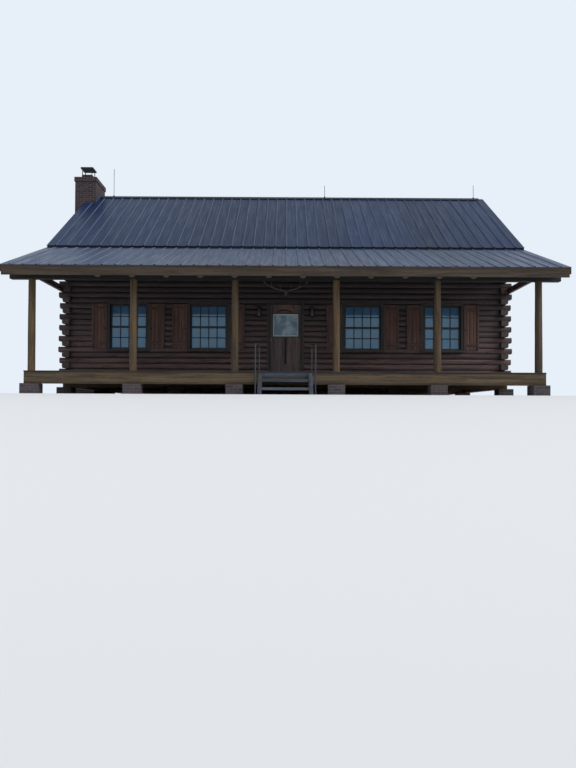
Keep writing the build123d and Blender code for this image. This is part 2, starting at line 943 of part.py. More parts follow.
sash_wide = 2 * (window_half - jamb)
sash_high = opening_height - 2 * jamb
with BuildPart() as window_sash:
    with BuildSketch(Plane.XY.offset(-half_wall)):
        add(ring(sash_wide, sash_high, sash_width + sash_play))
        Rectangle(glass_width, sash_width)
    extrude(amount=sash_thickness)
with BuildPart() as window_sashes:
    with Locations(*window_stations()):
        add(window_sash.part)
save(window_sashes, "window_sashes")

pane_height = (glass_height - sash_width) / 2
glass_level = (sash_thickness - glass_thickness) / 2 - half_wall
with BuildPart() as window_glass:
    with BuildSketch(*[place.offset(glass_level) for place in window_stations()]):
        with GridLocations(0, pane_height + sash_width, 1, 2):
            Rectangle(glass_width, pane_height)
    extrude(amount=glass_thickness)
save(window_glass, "window_glass")

# Shutters: boards with two battens, fixed to the wall beside each front window
shutter_x = window_half - jamb + casing_width + shutter_width / 2
shutter_places = [
    centre + side * (shutter_x + fit_gap) for centre in window_centres for side in (-1, 1)
]
shutter_middle = floor_height + shutter_base + shutter_height / 2
with BuildPart() as shutters:
    with Locations(*[(x, front_face, shutter_middle) for x in shutter_places]):
        Box(
            shutter_width,
            shutter_board,
            shutter_height,
            align=(Align.CENTER, Align.MAX, Align.CENTER),
        )
    reach = shutter_height / 2 - batten_inset
    levels = (shutter_middle - reach, shutter_middle + reach)
    with Locations(*[(x, front_face - shutter_board, z) for x in shutter_places for z in levels]):
        Box(
            shutter_width,
            batten_thickness,
            batten_height,
            align=(Align.CENTER, Align.MAX, Align.CENTER),
        )
save(shutters, "shutters")

# Front door frame and threshold
with BuildPart() as threshold:
    with Locations((0, 0, wall_base)):
        Box(
            2 * door_rough,
            wall_thickness,
            door_sill_top - wall_base,
            align=(Align.CENTER, Align.CENTER, Align.MIN),
        )
save(threshold, "threshold")

slab_inner = half_wall
slab_outer = slab_inner - door_thickness
stop_back = slab_outer - door_gap
with BuildPart() as door_frame:
    for y0, y1, border in (
        (front_face, stop_back, door_jamb + stop_width),
        (stop_back, half_wall, door_jamb),
    ):
        with BuildSketch(Plane.XZ.offset(-y1)):
            with Locations((0, door_sill_top)):
                Rectangle(2 * door_rough, door_head - door_sill_top, align=(Align.CENTER, Align.MIN))
                Rectangle(
                    2 * (door_rough - border),
                    door_head - door_sill_top - border,
                    align=(Align.CENTER, Align.MIN),
                    mode=Mode.SUBTRACT,
                )
        extrude(amount=y1 - y0)
save(door_frame, "door_frame")

# Front door, its glass and its knob
with BuildPart() as front_door:
    with BuildSketch(Plane.XZ.offset(-slab_inner)):
        with Locations((0, door_bottom)):
            Rectangle(door_width, door_height, align=(Align.CENTER, Align.MIN))
        with Locations((0, floor_height + door_glass_sill)):
            Rectangle(
                door_glass_width,
                door_glass_height,
                align=(Align.CENTER, Align.MIN),
                mode=Mode.SUBTRACT,
            )
    extrude(amount=door_thickness)
save(front_door, "front_door")

with BuildPart() as door_glass:
    with BuildSketch(Plane.XZ.offset(-(slab_inner + slab_outer + glass_thickness) / 2)):
        with Locations((0, floor_height + door_glass_sill)):
            Rectangle(door_glass_width, door_glass_height, align=(Align.CENTER, Align.MIN))
    extrude(amount=glass_thickness)
save(door_glass, "door_glass")

knob_x = -door_width / 2 + knob_inset
with BuildPart() as door_knob:
    for y, turn in ((slab_outer, 1), (slab_inner, -1)):
        side = Plane((knob_x, y, floor_height + knob_height), x_dir=(1, 0, 0), z_dir=(0, -turn, 0))
        for start, radius, length in (
            (0, rose_radius, rose_thickness),
            (0, knob_neck, knob_reach),
            (knob_reach, knob_radius, knob_length),
        ):
            with BuildSketch(side.offset(start)):
                RegularPolygon(radius, round_sides)
            extrude(amount=length)
save(door_knob, "door_knob")

# Door hinges: pinned knuckles on the frame, leaf knuckles on the door
hinge_x = door_width / 2 + door_gap / 2
hinge_y = slab_inner + hinge_radius + hinge_run
hinge_levels = (door_bottom + hinge_inset, door_bottom + door_height / 2, door_top - hinge_inset)
knuckle = hinge_height / 3
knuckle_height = knuckle - hinge_run
hinge_knuckle = upright(hinge_radius, hinge_radius, knuckle_height)
hinge_rod = upright(hinge_pin, hinge_pin, hinge_height)
with BuildPart() as hinge_pins:
    for z in hinge_levels:
        with Locations((hinge_x, hinge_y, z - hinge_height / 2)):
            add(hinge_rod)
        for level in (z - knuckle, z + knuckle):
            with Locations((hinge_x, hinge_y, level - knuckle_height / 2)):
                add(hinge_knuckle)
            with Locations((hinge_x, slab_inner, level)):
                Box(
                    hinge_width + hinge_radius,
                    hinge_leaf,
                    knuckle_height,
                    align=(Align.MIN, Align.MIN, Align.CENTER),
                )
        with Locations((hinge_x + hinge_radius, slab_inner, z)):
            Box(
                hinge_width, hinge_leaf, hinge_height, align=(Align.MIN, Align.MIN, Align.CENTER)
            )
save(hinge_pins, "hinge_pins")

hinge_bore = upright(hinge_pin + hinge_run, hinge_pin + hinge_run, knuckle)
with BuildPart() as hinge_leaves:
    for z in hinge_levels:
        with Locations((hinge_x, hinge_y, z - knuckle_height / 2)):
            add(hinge_knuckle)
        with Locations((hinge_x, slab_inner, z)):
            Box(
                hinge_width + hinge_radius,
                hinge_leaf,
                knuckle_height,
                align=(Align.MAX, Align.MIN, Align.CENTER),
            )
        with Locations((hinge_x, hinge_y, z - knuckle / 2)):
            add(hinge_bore, mode=Mode.SUBTRACT)
save(hinge_leaves, "hinge_leaves")

# Wall lanterns: back plate, cap and dish on one bracket, with a glass globe between
lantern_dish = upright(globe_radius, globe_radius, dish_height)
lantern_cap = upright(lantern_radius, dish_height / 2, cap_rise)
with BuildPart() as wall_lanterns:
    for side in (-1, 1):
        x = side * lantern_x
        y = front_face - lantern_reach
        foot = floor_height + lantern_base
        top = foot + lantern_height
        with Locations((x, front_face - lantern_plate / 2, (foot + top) / 2)):
            Box(lantern_plate_width, lantern_plate, lantern_height)
        with Locations((x, y, foot)):
            add(lantern_dish)
        with Locations((x, y, top - cap_rise)):
            add(lantern_cap)
        for z, align in ((foot, Align.MIN), (top - cap_rise, Align.MIN)):
            with Locations((x, front_face, z)):
                Box(dish_height, lantern_reach, dish_height, align=(Align.CENTER, Align.MAX, align))
save(wall_lanterns, "wall_lanterns")

globe_low = floor_height + lantern_base + dish_height
globe_high = floor_height + lantern_base + lantern_height - cap_rise
lantern_globe = upright(globe_radius - fit_gap, globe_radius - fit_gap, globe_high - globe_low)
with BuildPart() as lantern_globes:
    for side in (-1, 1):
        with Locations((side * lantern_x, front_face - lantern_reach, globe_low)):
            add(lantern_globe)
save(lantern_globes, "lantern_globes")


# Elk antlers over the door: plaque on the logs, skull, two beams and their tines
def antler_point(side, share):
    """Point on a main beam, from its root at 0 to its tip at 1."""
    turn = share * pi / 2
    return Vector(
        side * antler_span / 2 * sin(turn),
        skull_y - antler_forward * sin(2 * turn),
        skull_level + antler_rise * (1 - cos(turn)),
    )


skull_y = front_face - skull_top - fit_gap
skull_level = floor_height + plaque_level + antler_seat
skull = upright(skull_nose, skull_top, skull_height)
tine = upright(tine_root, tine_tip, tine_length)
with BuildPart() as antlers:
    with Locations((0, front_face, floor_height + plaque_level)):
        Box(
            plaque_width,
            plaque_thickness,
            plaque_height,
            align=(Align.CENTER, Align.MAX, Align.CENTER),
        )
    with Locations((0, skull_y, floor_height + plaque_level - skull_height / 2)):
        add(skull)
    for side in (-1, 1):
        for i in range(antler_steps + 1):
            share = i / antler_steps
            here = antler_point(side, share)
            ahead = antler_point(side, share + heading_step) - here
            radius = antler_root + (antler_tip - antler_root) * share
            with BuildSketch(Plane(here, x_dir=ahead.cross(Vector(0, 1, 0)), z_dir=ahead)):
                RegularPolygon(radius, round_sides)
        loft(ruled=True)
        heading = (side * tine_lean, -tine_forward, 1)
        for i in range(tine_count):
            with Locations(Plane(antler_point(side, (i + 0.5) / tine_count), z_dir=heading)):
                add(tine)
save(antlers, "antlers")

# Steps and handrails
rise = floor_height / (step_count + 1)
step_foot = rim_front - step_going * step_count - step_toe
with BuildPart() as step_stringers:
    for x in (-step_width / 2, step_width / 2 - stringer):
        with BuildSketch(Plane.YZ.offset(x)):
            with BuildLine():
                Polyline(
                    (rim_front, floor_height - deck_board),
                    (step_foot, step_nose),
                    (step_foot, 0),
                    (step_foot + stringer_depth, 0),
                    (rim_front, pier_top),
                    close=True,
                )
            make_face()
        extrude(amount=stringer)
save(step_stringers, "step_stringers")

with BuildPart() as step_treads:
    for i in range(1, step_count + 1):
        y = rim_front - step_going * (step_count + 1 - i)
        with Locations((0, y, i * rise)):
            Box(
                step_width - 2 * stringer,
                step_going,
                tread_thickness,
                align=(Align.CENTER, Align.MIN, Align.MAX),
            )
save(step_treads, "step_treads")

back_y = deck_front + rail_setback
front_y = deck_front - rail_reach
with BuildPart() as handrails:
    for side in (-1, 1):
        with BuildLine() as route:
            Polyline(
                (side * rail_front, front_y, 0),
                (side * rail_front, front_y, rail_front_height),
                (side * rail_back, back_y, floor_height + rail_height),
                (side * rail_back, back_y, floor_height),
            )
        with BuildSketch(Plane((side * rail_front, front_y, 0))):
            RegularPolygon(rail_radius, round_sides)
        sweep(path=route.line, transition=Transition.RIGHT)
save(handrails, "handrails")

# Lightning rods on the ridge
rod_cone = upright(rod_foot, rod_radius, rod_foot_height)
with BuildPart() as lightning_rods:
    for share, height in rod_places:
        rod = upright(rod_radius, rod_radius, height)
        with Locations((share * half_roof, ridge_y, cap_top)):
            add(rod)
            add(rod_cone)
save(lightning_rods, "lightning_rods")
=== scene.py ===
"""Looks for a log cabin with a full-width front porch, on brick piers. Metres; +X right, +Y back, +Z up."""
import math

import bmesh
import bpy
from mathutils import Matrix, Vector


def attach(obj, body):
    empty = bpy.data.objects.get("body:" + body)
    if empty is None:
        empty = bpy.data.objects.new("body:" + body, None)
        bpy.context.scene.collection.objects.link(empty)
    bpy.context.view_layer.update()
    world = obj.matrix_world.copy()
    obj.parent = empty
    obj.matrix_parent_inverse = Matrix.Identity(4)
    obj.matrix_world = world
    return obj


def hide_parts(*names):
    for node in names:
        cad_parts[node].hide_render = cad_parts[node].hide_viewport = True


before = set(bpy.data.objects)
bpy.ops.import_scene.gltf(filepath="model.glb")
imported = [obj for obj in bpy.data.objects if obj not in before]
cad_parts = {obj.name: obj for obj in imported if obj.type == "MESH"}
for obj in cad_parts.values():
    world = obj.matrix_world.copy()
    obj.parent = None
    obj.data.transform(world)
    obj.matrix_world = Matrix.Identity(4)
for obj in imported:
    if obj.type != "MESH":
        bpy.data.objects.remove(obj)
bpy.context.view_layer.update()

# The studio: a level pale floor round the cabin that falls away in front, so that the low camera looks
# up at the porch. One broad soft lamp from the right fills in what the pale room gives.
floor_edge = 70
slope_start, slope_end, slope_drop, slope_steps = -4.3, -15.5, 1.95, 24


def stand(name, data):
    """Stands a new object in the scene, at the origin."""
    made = bpy.data.objects.new(name, data)
    bpy.context.scene.collection.objects.link(made)
    return made


def node(tree, kind, inputs=None, **settings):
    """Adds one node. Each input gets a plain value, or a link where it is given a socket."""
    made = tree.nodes.new(kind)
    for name, value in settings.items():
        setattr(made, name, value)
    for name, value in (inputs or {}).items():
        if isinstance(value, bpy.types.NodeSocket):
            tree.links.new(value, made.inputs[name])
        else:
            made.inputs[name].default_value = value
    return made


def result(tree, kind, inputs=None, **settings):
    """Adds one node and gives its first output."""
    return node(tree, kind, inputs, **settings).outputs[0]


def sums(tree, kind, *values):
    """One step of arithmetic on sockets or plain numbers."""
    return result(tree, "ShaderNodeMath", dict(enumerate(values)), operation=kind)


def finish_tree(name, **constants):
    """A new material with its shader ready, and the shader's plain values written on its sockets."""
    made = bpy.data.materials.new(name)
    made.use_nodes = True
    tree = made.node_tree
    tree.nodes.clear()
    shader = node(tree, "ShaderNodeBsdfPrincipled")
    for socket, value in constants.items():
        shader.inputs[socket.replace("_", " ")].default_value = value
    node(tree, "ShaderNodeOutputMaterial", {"Surface": shader.outputs[0]})
    return made, tree, shader


def paint(*levels):
    """A colour as the eye reads it off a picture, 0 to 255, in the shader's own linear terms."""
    shares = [level / 255 for level in levels]
    return (*[s / 12.92 if s <= 0.04045 else ((s + 0.055) / 1.055) ** 2.4 for s in shares], 1)


def blend(tree, amount, first, second, mode="MIX"):
    """Mixes two colours by an amount."""
    inputs = {"Factor": amount, 6: first, 7: second}
    return node(tree, "ShaderNodeMix", inputs, data_type="RGBA", blend_type=mode).outputs[2]


def spread(tree, value, low, high, to_low=0.0, to_high=1.0):
    """Stretches a value from one range to another, smoothly and held at both ends."""
    ends = {"From Min": low, "From Max": high, "To Min": to_low, "To Max": to_high}
    return result(tree, "ShaderNodeMapRange", {"Value": value, **ends}, interpolation_type="SMOOTHSTEP")


rows = [(floor_edge, 0)]
for step in range(slope_steps + 1):
    part = step / slope_steps
    fall = part * part * (3 - 2 * part)
    rows.append((slope_start + (slope_end - slope_start) * part, -slope_drop * fall))
rows.append((-floor_edge, -slope_drop))
mesh = bpy.data.meshes.new("studio_floor")
mesh.from_pydata(
    [(side * floor_edge, y, z) for y, z in rows for side in (-1, 1)],
    [],
    [(2 * i, 2 * i + 1, 2 * i + 3, 2 * i + 2) for i in range(len(rows) - 1)],
)
mesh.shade_smooth()
floor_finish, tree, shader = finish_tree("studio_floor", Roughness=0.9)
cloud = result(tree, "ShaderNodeTexNoise", {"Scale": 0.15})
tone = blend(tree, cloud, paint(222, 224, 226), paint(230, 231, 232))
tree.links.new(tone, shader.inputs["Base Color"])
mesh.materials.append(floor_finish)
stand("studio_floor", mesh)

# The room lights the cabin a little darker than it shows itself to the camera and in reflections
world = bpy.data.worlds.new("studio_room")
bpy.context.scene.world = world
world.use_nodes = True
tree = world.node_tree
tree.nodes.clear()
rays = node(tree, "ShaderNodeLightPath").outputs
seen = sums(tree, "MAXIMUM", rays["Is Glossy Ray"], rays["Is Transmission Ray"])
seen = sums(tree, "MAXIMUM", rays["Is Camera Ray"], seen)
light = blend(tree, seen, (0.66, 0.69, 0.74, 1), (0.80, 0.87, 0.95, 1))
room = result(tree, "ShaderNodeBackground", {"Color": light, "Strength": 1.0})
node(tree, "ShaderNodeOutputWorld", {"Surface": room})

lamp = stand("soft_lamp", bpy.data.lights.new("soft_lamp", "SUN"))
lamp.data.energy = 1.9
lamp.data.angle = math.radians(35)
lamp.data.color = (1.0, 0.97, 0.93)
lamp.rotation_euler = Vector((-1.0, 0.45, -0.7)).to_track_quat("-Z", "Y").to_euler()

camera_spot, camera_lens, camera_shift = (0, -17.39, -0.355), 38.93, 0.0289
camera_heading, camera_pitch, camera_roll = -0.25, 91, 0.25
camera = stand("camera", bpy.data.cameras.new("camera"))
camera.data.sensor_fit = "HORIZONTAL"
camera.data.sensor_width = 36
camera.data.lens = camera_lens
camera.data.shift_y = camera_shift
camera.data.clip_end = 300
camera.location = camera_spot
heading, pitch, roll = [
    Matrix.Rotation(math.radians(angle), 3, axis)
    for angle, axis in ((camera_heading, "Z"), (camera_pitch, "X"), (camera_roll, "Z"))
]
camera.rotation_euler = (heading @ pitch @ roll).to_euler()
bpy.context.scene.camera = camera
bpy.context.scene.view_settings.view_transform = "Standard"

# The piers: square brick pillars, laid in courses with grey mortar, under the house sills and the porch.
# The same bricks, older and sootier, make the chimney.
brick_pitch, brick_course, mortar_wide = 0.205, 0.0665, 0.006


def dress(finish, *nodes):
    """Gives a finish to pieces of the cabin that keep their own shape."""
    for name in nodes:
        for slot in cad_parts[name].material_slots:
            slot.material = finish


def axes(tree):
    """The place on the piece and the way its surface faces, each as a vector and as three numbers."""
    place = node(tree, "ShaderNodeTexCoord").outputs
    spot = node(tree, "ShaderNodeSeparateXYZ", {0: place["Object"]}).outputs
    facing = node(tree, "ShaderNodeSeparateXYZ", {0: place["Normal"]}).outputs
    return place["Object"], spot, facing


def noise(tree, place, scale, detail=2.0, **more):
    """Soft patches by chance, as a value about 0.5; a higher scale makes them smaller."""
    return result(tree, "ShaderNodeTexNoise", {"Vector": place, "Scale": scale, "Detail": detail, **more})


def either(tree, choice, first, second):
    """The first value where the choice is 0, and the second where it is 1."""
    return result(tree, "ShaderNodeMix", {"Factor": choice, 2: first, 3: second}, data_type="FLOAT")


def looks_along(tree, way, limit):
    """1 where a surface faces along an axis, either way, and 0 elsewhere."""
    return sums(tree, "GREATER_THAN", sums(tree, "ABSOLUTE", way), limit)


def coat(tree, shader, height, strength, deep, **parts):
    """Joins colour and gloss to a finish's shader, and fine relief made from a height."""
    bump = result(tree, "ShaderNodeBump", {"Height": height, "Strength": strength, "Distance": deep})
    for label, value in {**parts, "Normal": bump}.items():
        tree.links.new(value, shader.inputs[label.replace("_", " ")])


def brickwork(name, light, dark, mortar, soot):
    """Bricks that run round corners: front and back faces take their length from x, the ends from y."""
    made, tree, shader = finish_tree(name, Roughness=0.92)
    light, dark, mortar = paint(*light), paint(*dark), paint(*mortar)
    place, spot, facing = axes(tree)
    along = either(tree, looks_along(tree, facing["X"], 0.5), spot["X"], spot["Y"])
    up = either(tree, looks_along(tree, facing["Z"], 0.8), spot["Z"], spot["Y"])
    face = result(tree, "ShaderNodeCombineXYZ", {"X": along, "Y": up})
    sizes = {"Scale": 1.0, "Brick Width": brick_pitch, "Row Height": brick_course, "Mortar Size": mortar_wide}
    marks = {"Color1": (0, 0, 0, 1), "Color2": (1, 1, 1, 1), "Mortar": (0.5, 0.5, 0.5, 1)}
    marks["Mortar Smooth"] = 0.3
    bricks = node(tree, "ShaderNodeTexBrick", {"Vector": face, **sizes, **marks}).outputs
    grit = noise(tree, place, 60.0, 6.0)
    patch = noise(tree, place, 1.6, 4.0)
    tone = blend(tree, bricks["Color"], dark, light)
    tone = blend(tree, spread(tree, grit, 0.35, 0.75, 0.0, 0.45), tone, dark)
    tone = blend(tree, bricks["Fac"], tone, mortar)
    tone = blend(tree, spread(tree, patch, 0.5, 0.75, 0.0, soot), tone, paint(38, 32, 30))
    height = sums(tree, "SUBTRACT", sums(tree, "MULTIPLY", grit, 0.25), bricks["Fac"])
    coat(tree, shader, height, 0.8, 0.006, Base_Color=tone)
    return made


dress(brickwork("pier_brick", (80, 66, 68), (56, 50, 55), (84, 87, 92), 0.35), "brick_piers")

# The floor of the house: heavy sawn sills on the piers, joists from front to back between them,
# and planed boards laid across. Hidden timbers, left rough from the saw.


def vectors(tree, kind, first, second):
    """One step of arithmetic on vectors."""
    return result(tree, "ShaderNodeVectorMath", {0: first, 1: second}, operation=kind)


def weighed(tree, first, part, second, other_part):
    """Two values added, each in its own part."""
    return sums(tree, "ADD", sums(tree, "MULTIPLY", first, part), sums(tree, "MULTIPLY", second, other_part))


def darker(color, share):
    """A share of a colour."""
    return (*[level * share for level in color[:3]], 1)


def drawn_out(tree, number, place, along, shift, stretch):
    """For a board's number: a place moved by chance, the same drawn out along the fibres, and a value."""
    own = node(tree, "ShaderNodeTexWhiteNoise", {"W": number}, noise_dimensions="1D").outputs
    moved = vectors(tree, "ADD", vectors(tree, "MULTIPLY", own["Color"], (shift, shift, shift)), place)
    drawn = [1.0, 1.0, 1.0]
    drawn["XYZ".index(along)] = 1 / stretch
    return moved, vectors(tree, "MULTIPLY", moved, drawn), own["Value"]


def shaded(tree, tone, own, low, high):
    """A colour made darker or lighter by a board's own value."""
    shade = spread(tree, own, 0.0, 1.0, low, high)
    grey = result(tree, "ShaderNodeCombineColor", {0: shade, 1: shade, 2: shade})
    return blend(tree, 1.0, tone, grey, "MULTIPLY")


def wood(name, dark, light, along, board=5.0, across="Z", joint=0.0, rough=0.8, grey=0.2, cut=None):
    """Timber with its fibres drawn out along one axis, weather in patches, and each board in its own tone."""
    made, tree, shader = finish_tree(name)
    dark, light = paint(*dark), paint(*light)
    place, spot, facing = axes(tree)
    course = sums(tree, "DIVIDE", spot[across], board)
    moved, fibres, own = drawn_out(tree, sums(tree, "FLOOR", course), place, along, 7, 18)
    fine = noise(tree, fibres, 130.0, 3.0)
    grain = weighed(tree, noise(tree, fibres, 17.0, 4.0, Distortion=0.9), 0.65, fine, 0.35)
    tone = blend(tree, spread(tree, grain, 0.32, 0.68), dark, light)
    silver = 0.55 * sum(dark[:3] + light[:3]) / 3
    weathered = spread(tree, noise(tree, moved, 1.3, 5.0), 0.45, 0.75, 0.0, grey)
    tone = blend(tree, weathered, tone, (silver * 1.02, silver, silver * 0.97, 1))
    tone = shaded(tree, tone, own, 0.78, 1.16)
    if cut:
        sawn_end = blend(tree, fine, paint(*cut), darker(paint(*cut), 0.6))
        tone = blend(tree, looks_along(tree, facing[along], 0.75), tone, sawn_end)
    height = grain
    if joint:
        nearest = sums(tree, "ABSOLUTE", sums(tree, "SUBTRACT", sums(tree, "FRACT", course), 0.5))
        gap = spread(tree, nearest, 0.5 - joint, 0.5 - joint * 0.4)
        tone = blend(tree, sums(tree, "MULTIPLY", gap, 0.8), tone, darker(dark, 0.2))
        height = sums(tree, "SUBTRACT", grain, sums(tree, "MULTIPLY", gap, 2.0))
    gloss = spread(tree, grain, 0.3, 0.7, rough + 0.08, rough - 0.08)
    coat(tree, shader, height, 0.35, 0.004, Base_Color=tone, Roughness=gloss)
    return made


dress(wood("sill_timber", (72, 56, 42), (112, 90, 66), "X", 0.3), "house_sills")
dress(wood("joist_timber", (84, 64, 46), (128, 102, 74), "Y", 0.4, "X"), "floor_joists")
dress(wood("floor_board", (96, 70, 46), (142, 108, 74), "X", 0.14, "Y", 0.03, 0.55, 0.05), "house_floor")

# The porch floor: a lower beam over the front piers, a rim board above it, both of them sawn timber
# gone tan and grey in the weather, and long boards laid side by side on top.
porch_timber = wood("porch_timber", (54, 44, 31), (88, 73, 51), "X", 0.17, "Z", 0.0, 0.85, 0.35)
dress(porch_timber, "threshold")
deck_wood = wood("deck_board", (26, 25, 26), (50, 48, 48), "X", 0.1435, "Y", 0.0, 0.85, 0.35)


def rule(name, **inputs):
    """A new Geometry Nodes tree: geometry in, named inputs with their plain values, and geometry out."""
    tree = bpy.data.node_groups.new(name, "GeometryNodeTree")
    tree.interface.new_socket("Geometry", in_out="INPUT", socket_type="NodeSocketGeometry")
    kinds = {float: "Float", int: "Int", tuple: "Vector", type(None): "Material"}
    for label, value in inputs.items():
        made = tree.interface.new_socket(label, in_out="INPUT", socket_type="NodeSocket" + kinds[type(value)])
        if value is not None:
            made.default_value = value
    tree.interface.new_socket("Geometry", in_out="OUTPUT", socket_type="NodeSocketGeometry")
    return tree, tree.nodes.new("NodeGroupInput").outputs


def sweep(tree, line, outline, **more):
    """A closed shape: an outline carried along a line."""
    inputs = {"Curve": line, "Profile Curve": outline, "Fill Caps": True, **more}
    return result(tree, "GeometryNodeCurveToMesh", inputs)


def finish_rule(tree, shape, material):
    """Ends a rule: real geometry, with its material set."""
    real = result(tree, "GeometryNodeRealizeInstances", {"Geometry": shape})
    done = result(tree, "GeometryNodeSetMaterial", {"Geometry": real, "Material": material})
    node(tree, "NodeGroupOutput", {"Geometry": done})


def lines(name, runs, **measures):
    """Centre lines for a rule to follow, one run of points for each piece, with measures on the points."""
    points, edges = [], []
    for run in runs:
        edges += [(len(points) + i, len(points) + i + 1) for i in range(len(run) - 1)]
        points += run
    mesh = bpy.data.meshes.new(name)
    mesh.from_pydata(points, edges, [])
    for label, values in measures.items():
        mesh.attributes.new(label, "FLOAT", "POINT").data.foreach_set("value", values)
    return mesh


def grow(name, mesh, tree, finish, smooth=None, **inputs):
    """Runs a rule over centre lines and keeps what it makes as one piece, standing at the origin."""
    guide = stand(name + "_guide", mesh)
    modifier = guide.modifiers.new(name, "NODES")
    modifier.node_group = tree
    keys = {item.name: item.identifier for item in tree.interface.items_tree if item.in_out == "INPUT"}
    for label, value in {**inputs, "Material": finish}.items():
        modifier[keys[label]] = value
    made = bpy.data.meshes.new_from_object(guide.evaluated_get(bpy.context.evaluated_depsgraph_get()))
    bpy.data.objects.remove(guide)
    for label in [a.name for a in made.attributes if a.name in ("low", "high", "girth", "turn")]:
        made.attributes.remove(made.attributes[label])
    if smooth:
        made.shade_smooth()
        made.set_sharp_from_angle(angle=math.radians(smooth))
    return stand(name, made)


def keep(piece, body, slot, *nodes):
    """Puts a piece on its body and hides the plain shapes it stands in for. The slot is not used."""
    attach(piece, body)
    if nodes:
        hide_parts(*nodes)


# One rule makes every sawn board and flat strip: a rectangle with eased edges, drawn along a centre line
plank, given = rule("plank", Wide=0.14, Thick=0.025, Edge=0.003, Material=None)
sides = {"Width": given["Wide"], "Height": given["Thick"]}
outline = result(plank, "GeometryNodeCurvePrimitiveQuadrilateral", sides)
easing = {"Curve": outline, "Count": 2, "Radius": given["Edge"], "Limit Radius": True}
outline = result(plank, "GeometryNodeFilletCurve", easing, mode="POLY")
line = result(plank, "GeometryNodeMeshToCurve", {"Mesh": given["Geometry"]})
line = result(plank, "GeometryNodeSetCurveNormal", {"Curve": line}, mode="Z_UP")
finish_rule(plank, sweep(plank, line, outline), given["Material"])


def planks(name, runs, finish, slot, *nodes, body="cabin", **sizes):
    """Sawn boards, one along each run, kept as one piece."""
    keep(grow(name, lines(name + "_runs", runs), plank, finish, 30, **sizes), body, slot, *nodes)


def level(start, end, y, z):
    """A level centre line from left to right."""
    return [(start, y, z), (end, y, z)]


deck_ends, deck_back, deck_front, deck_level = 6.246, -0.1, -2.54, 0.5875
post_y, rim_y = -2.435, -2.496
for name, y, z, deep, high in (("girder", post_y, 0.3685, 0.16, 0.153), ("rim", rim_y, 0.51, 0.038, 0.13)):
    planks("lower_" + name, [level(-deck_ends, deck_ends, y, z)], porch_timber, "porch_timber",
           "porch_" + name, Wide=deep, Thick=high, Edge=0.007)
deck_rows, deck_length, deck_gap, shortest_board = 17, 3.66, 0.003, 0.5
deck_pitch = (deck_back - deck_front) / deck_rows
runs = []
for row in range(deck_rows):
    y = deck_front + (row + 0.5) * deck_pitch
    start = -deck_ends
    end = start + deck_length * (0.34 + 0.22 * (row * 2 % 3))
    while start < deck_ends:
        if end > deck_ends - shortest_board:
            end = deck_ends
        runs.append(level(start, end - (deck_gap if end < deck_ends else 0), y, deck_level))
        start, end = end, end + deck_length
board_wide = deck_pitch - 0.005
planks("deck_boards", runs, deck_wood, "deck_boards", "porch_deck", Wide=board_wide, Thick=0.025)

# The walls: logs stained dark brown, laid in courses and crossing at the corners, where every other
# course runs past. The gables carry on in the same logs up to the ridge.
course_foot, course_height = 0.509, 0.1524


def stained_log(name, along, heart, painted_shade=0.0):
    """One log to a course, each in its own tone, dark in the seams, with drying cracks and ringed ends, and
    painted shade towards the top where it is given.
    """
    made, tree, shader = finish_tree(name)
    place, spot, facing = axes(tree)
    course = sums(tree, "DIVIDE", sums(tree, "SUBTRACT", spot["Z"], course_foot), course_height)
    number = sums(tree, "ADD", sums(tree, "FLOOR", course), heart)
    moved, fibres, own = drawn_out(tree, number, place, along, 9, 22)
    patch = noise(tree, moved, 0.9, 5.0)
    crack = sums(tree, "SUBTRACT", noise(tree, fibres, 9.0, 1.0), 0.5)
    crack = spread(tree, sums(tree, "ABSOLUTE", crack), 0.004, 0.012, 1.0, 0.0)
    middle = sums(tree, "SUBTRACT", sums(tree, "FRACT", course), 0.5)
    seam = spread(tree, sums(tree, "ABSOLUTE", middle), 0.43, 0.5)
    broad = noise(tree, fibres, 13.0, 5.0, Distortion=1.2)
    grain = weighed(tree, broad, 0.7, noise(tree, fibres, 110.0, 3.0), 0.3)
    tone = blend(tree, spread(tree, grain, 0.3, 0.7), paint(56, 41, 42), paint(102, 78, 76))
    tone = blend(tree, spread(tree, patch, 0.45, 0.8, 0.0, 0.4), tone, paint(112, 86, 74))
    tone = shaded(tree, tone, own, 0.72, 1.2)
    tone = blend(tree, sums(tree, "MULTIPLY", crack, 0.7), tone, paint(18, 13, 12))
    deep = sums(tree, "MULTIPLY", middle, course_height)
    out = sums(tree, "SUBTRACT", spot["Y" if along == "X" else "X"], heart)
    ring = sums(tree, "SQRT", weighed(tree, deep, deep, out, out))
    ring = sums(tree, "SINE", weighed(tree, ring, 700.0, patch, 9.0))
    ring = sums(tree, "MULTIPLY", sums(tree, "ADD", ring, 1.0), 0.5)
    cut = blend(tree, ring, paint(40, 32, 30), paint(68, 55, 48))
    tone = blend(tree, looks_along(tree, facing[along], 0.8), tone, cut)
    tone = blend(tree, sums(tree, "MULTIPLY", seam, 0.35), tone, paint(22, 17, 19))
    # Painted shade: the logs darken upwards to a near black navy, as the porch roof shades them
    if painted_shade:
        dim = spread(tree, spot["Z"], 0.7, 2.9, 0.0, painted_shade)
        tone = blend(tree, dim, tone, paint(9, 9, 17))
    height = sums(tree, "SUBTRACT", grain, sums(tree, "ADD", crack, sums(tree, "MULTIPLY", seam, 2.0)))
    gloss = spread(tree, grain, 0.3, 0.7, 0.72, 0.52)
    coat(tree, shader, height, 0.5, 0.006, Base_Color=tone, Roughness=gloss)
    return made


def held(tree, value, low, high):
    """A value held between two others."""
    return sums(tree, "MAXIMUM", sums(tree, "MINIMUM", value, high), low)


def measure(tree, label):
    """A measure that is written on the points of the centre lines."""
    return result(tree, "GeometryNodeInputNamedAttribute", {"Name": label}, data_type="FLOAT")


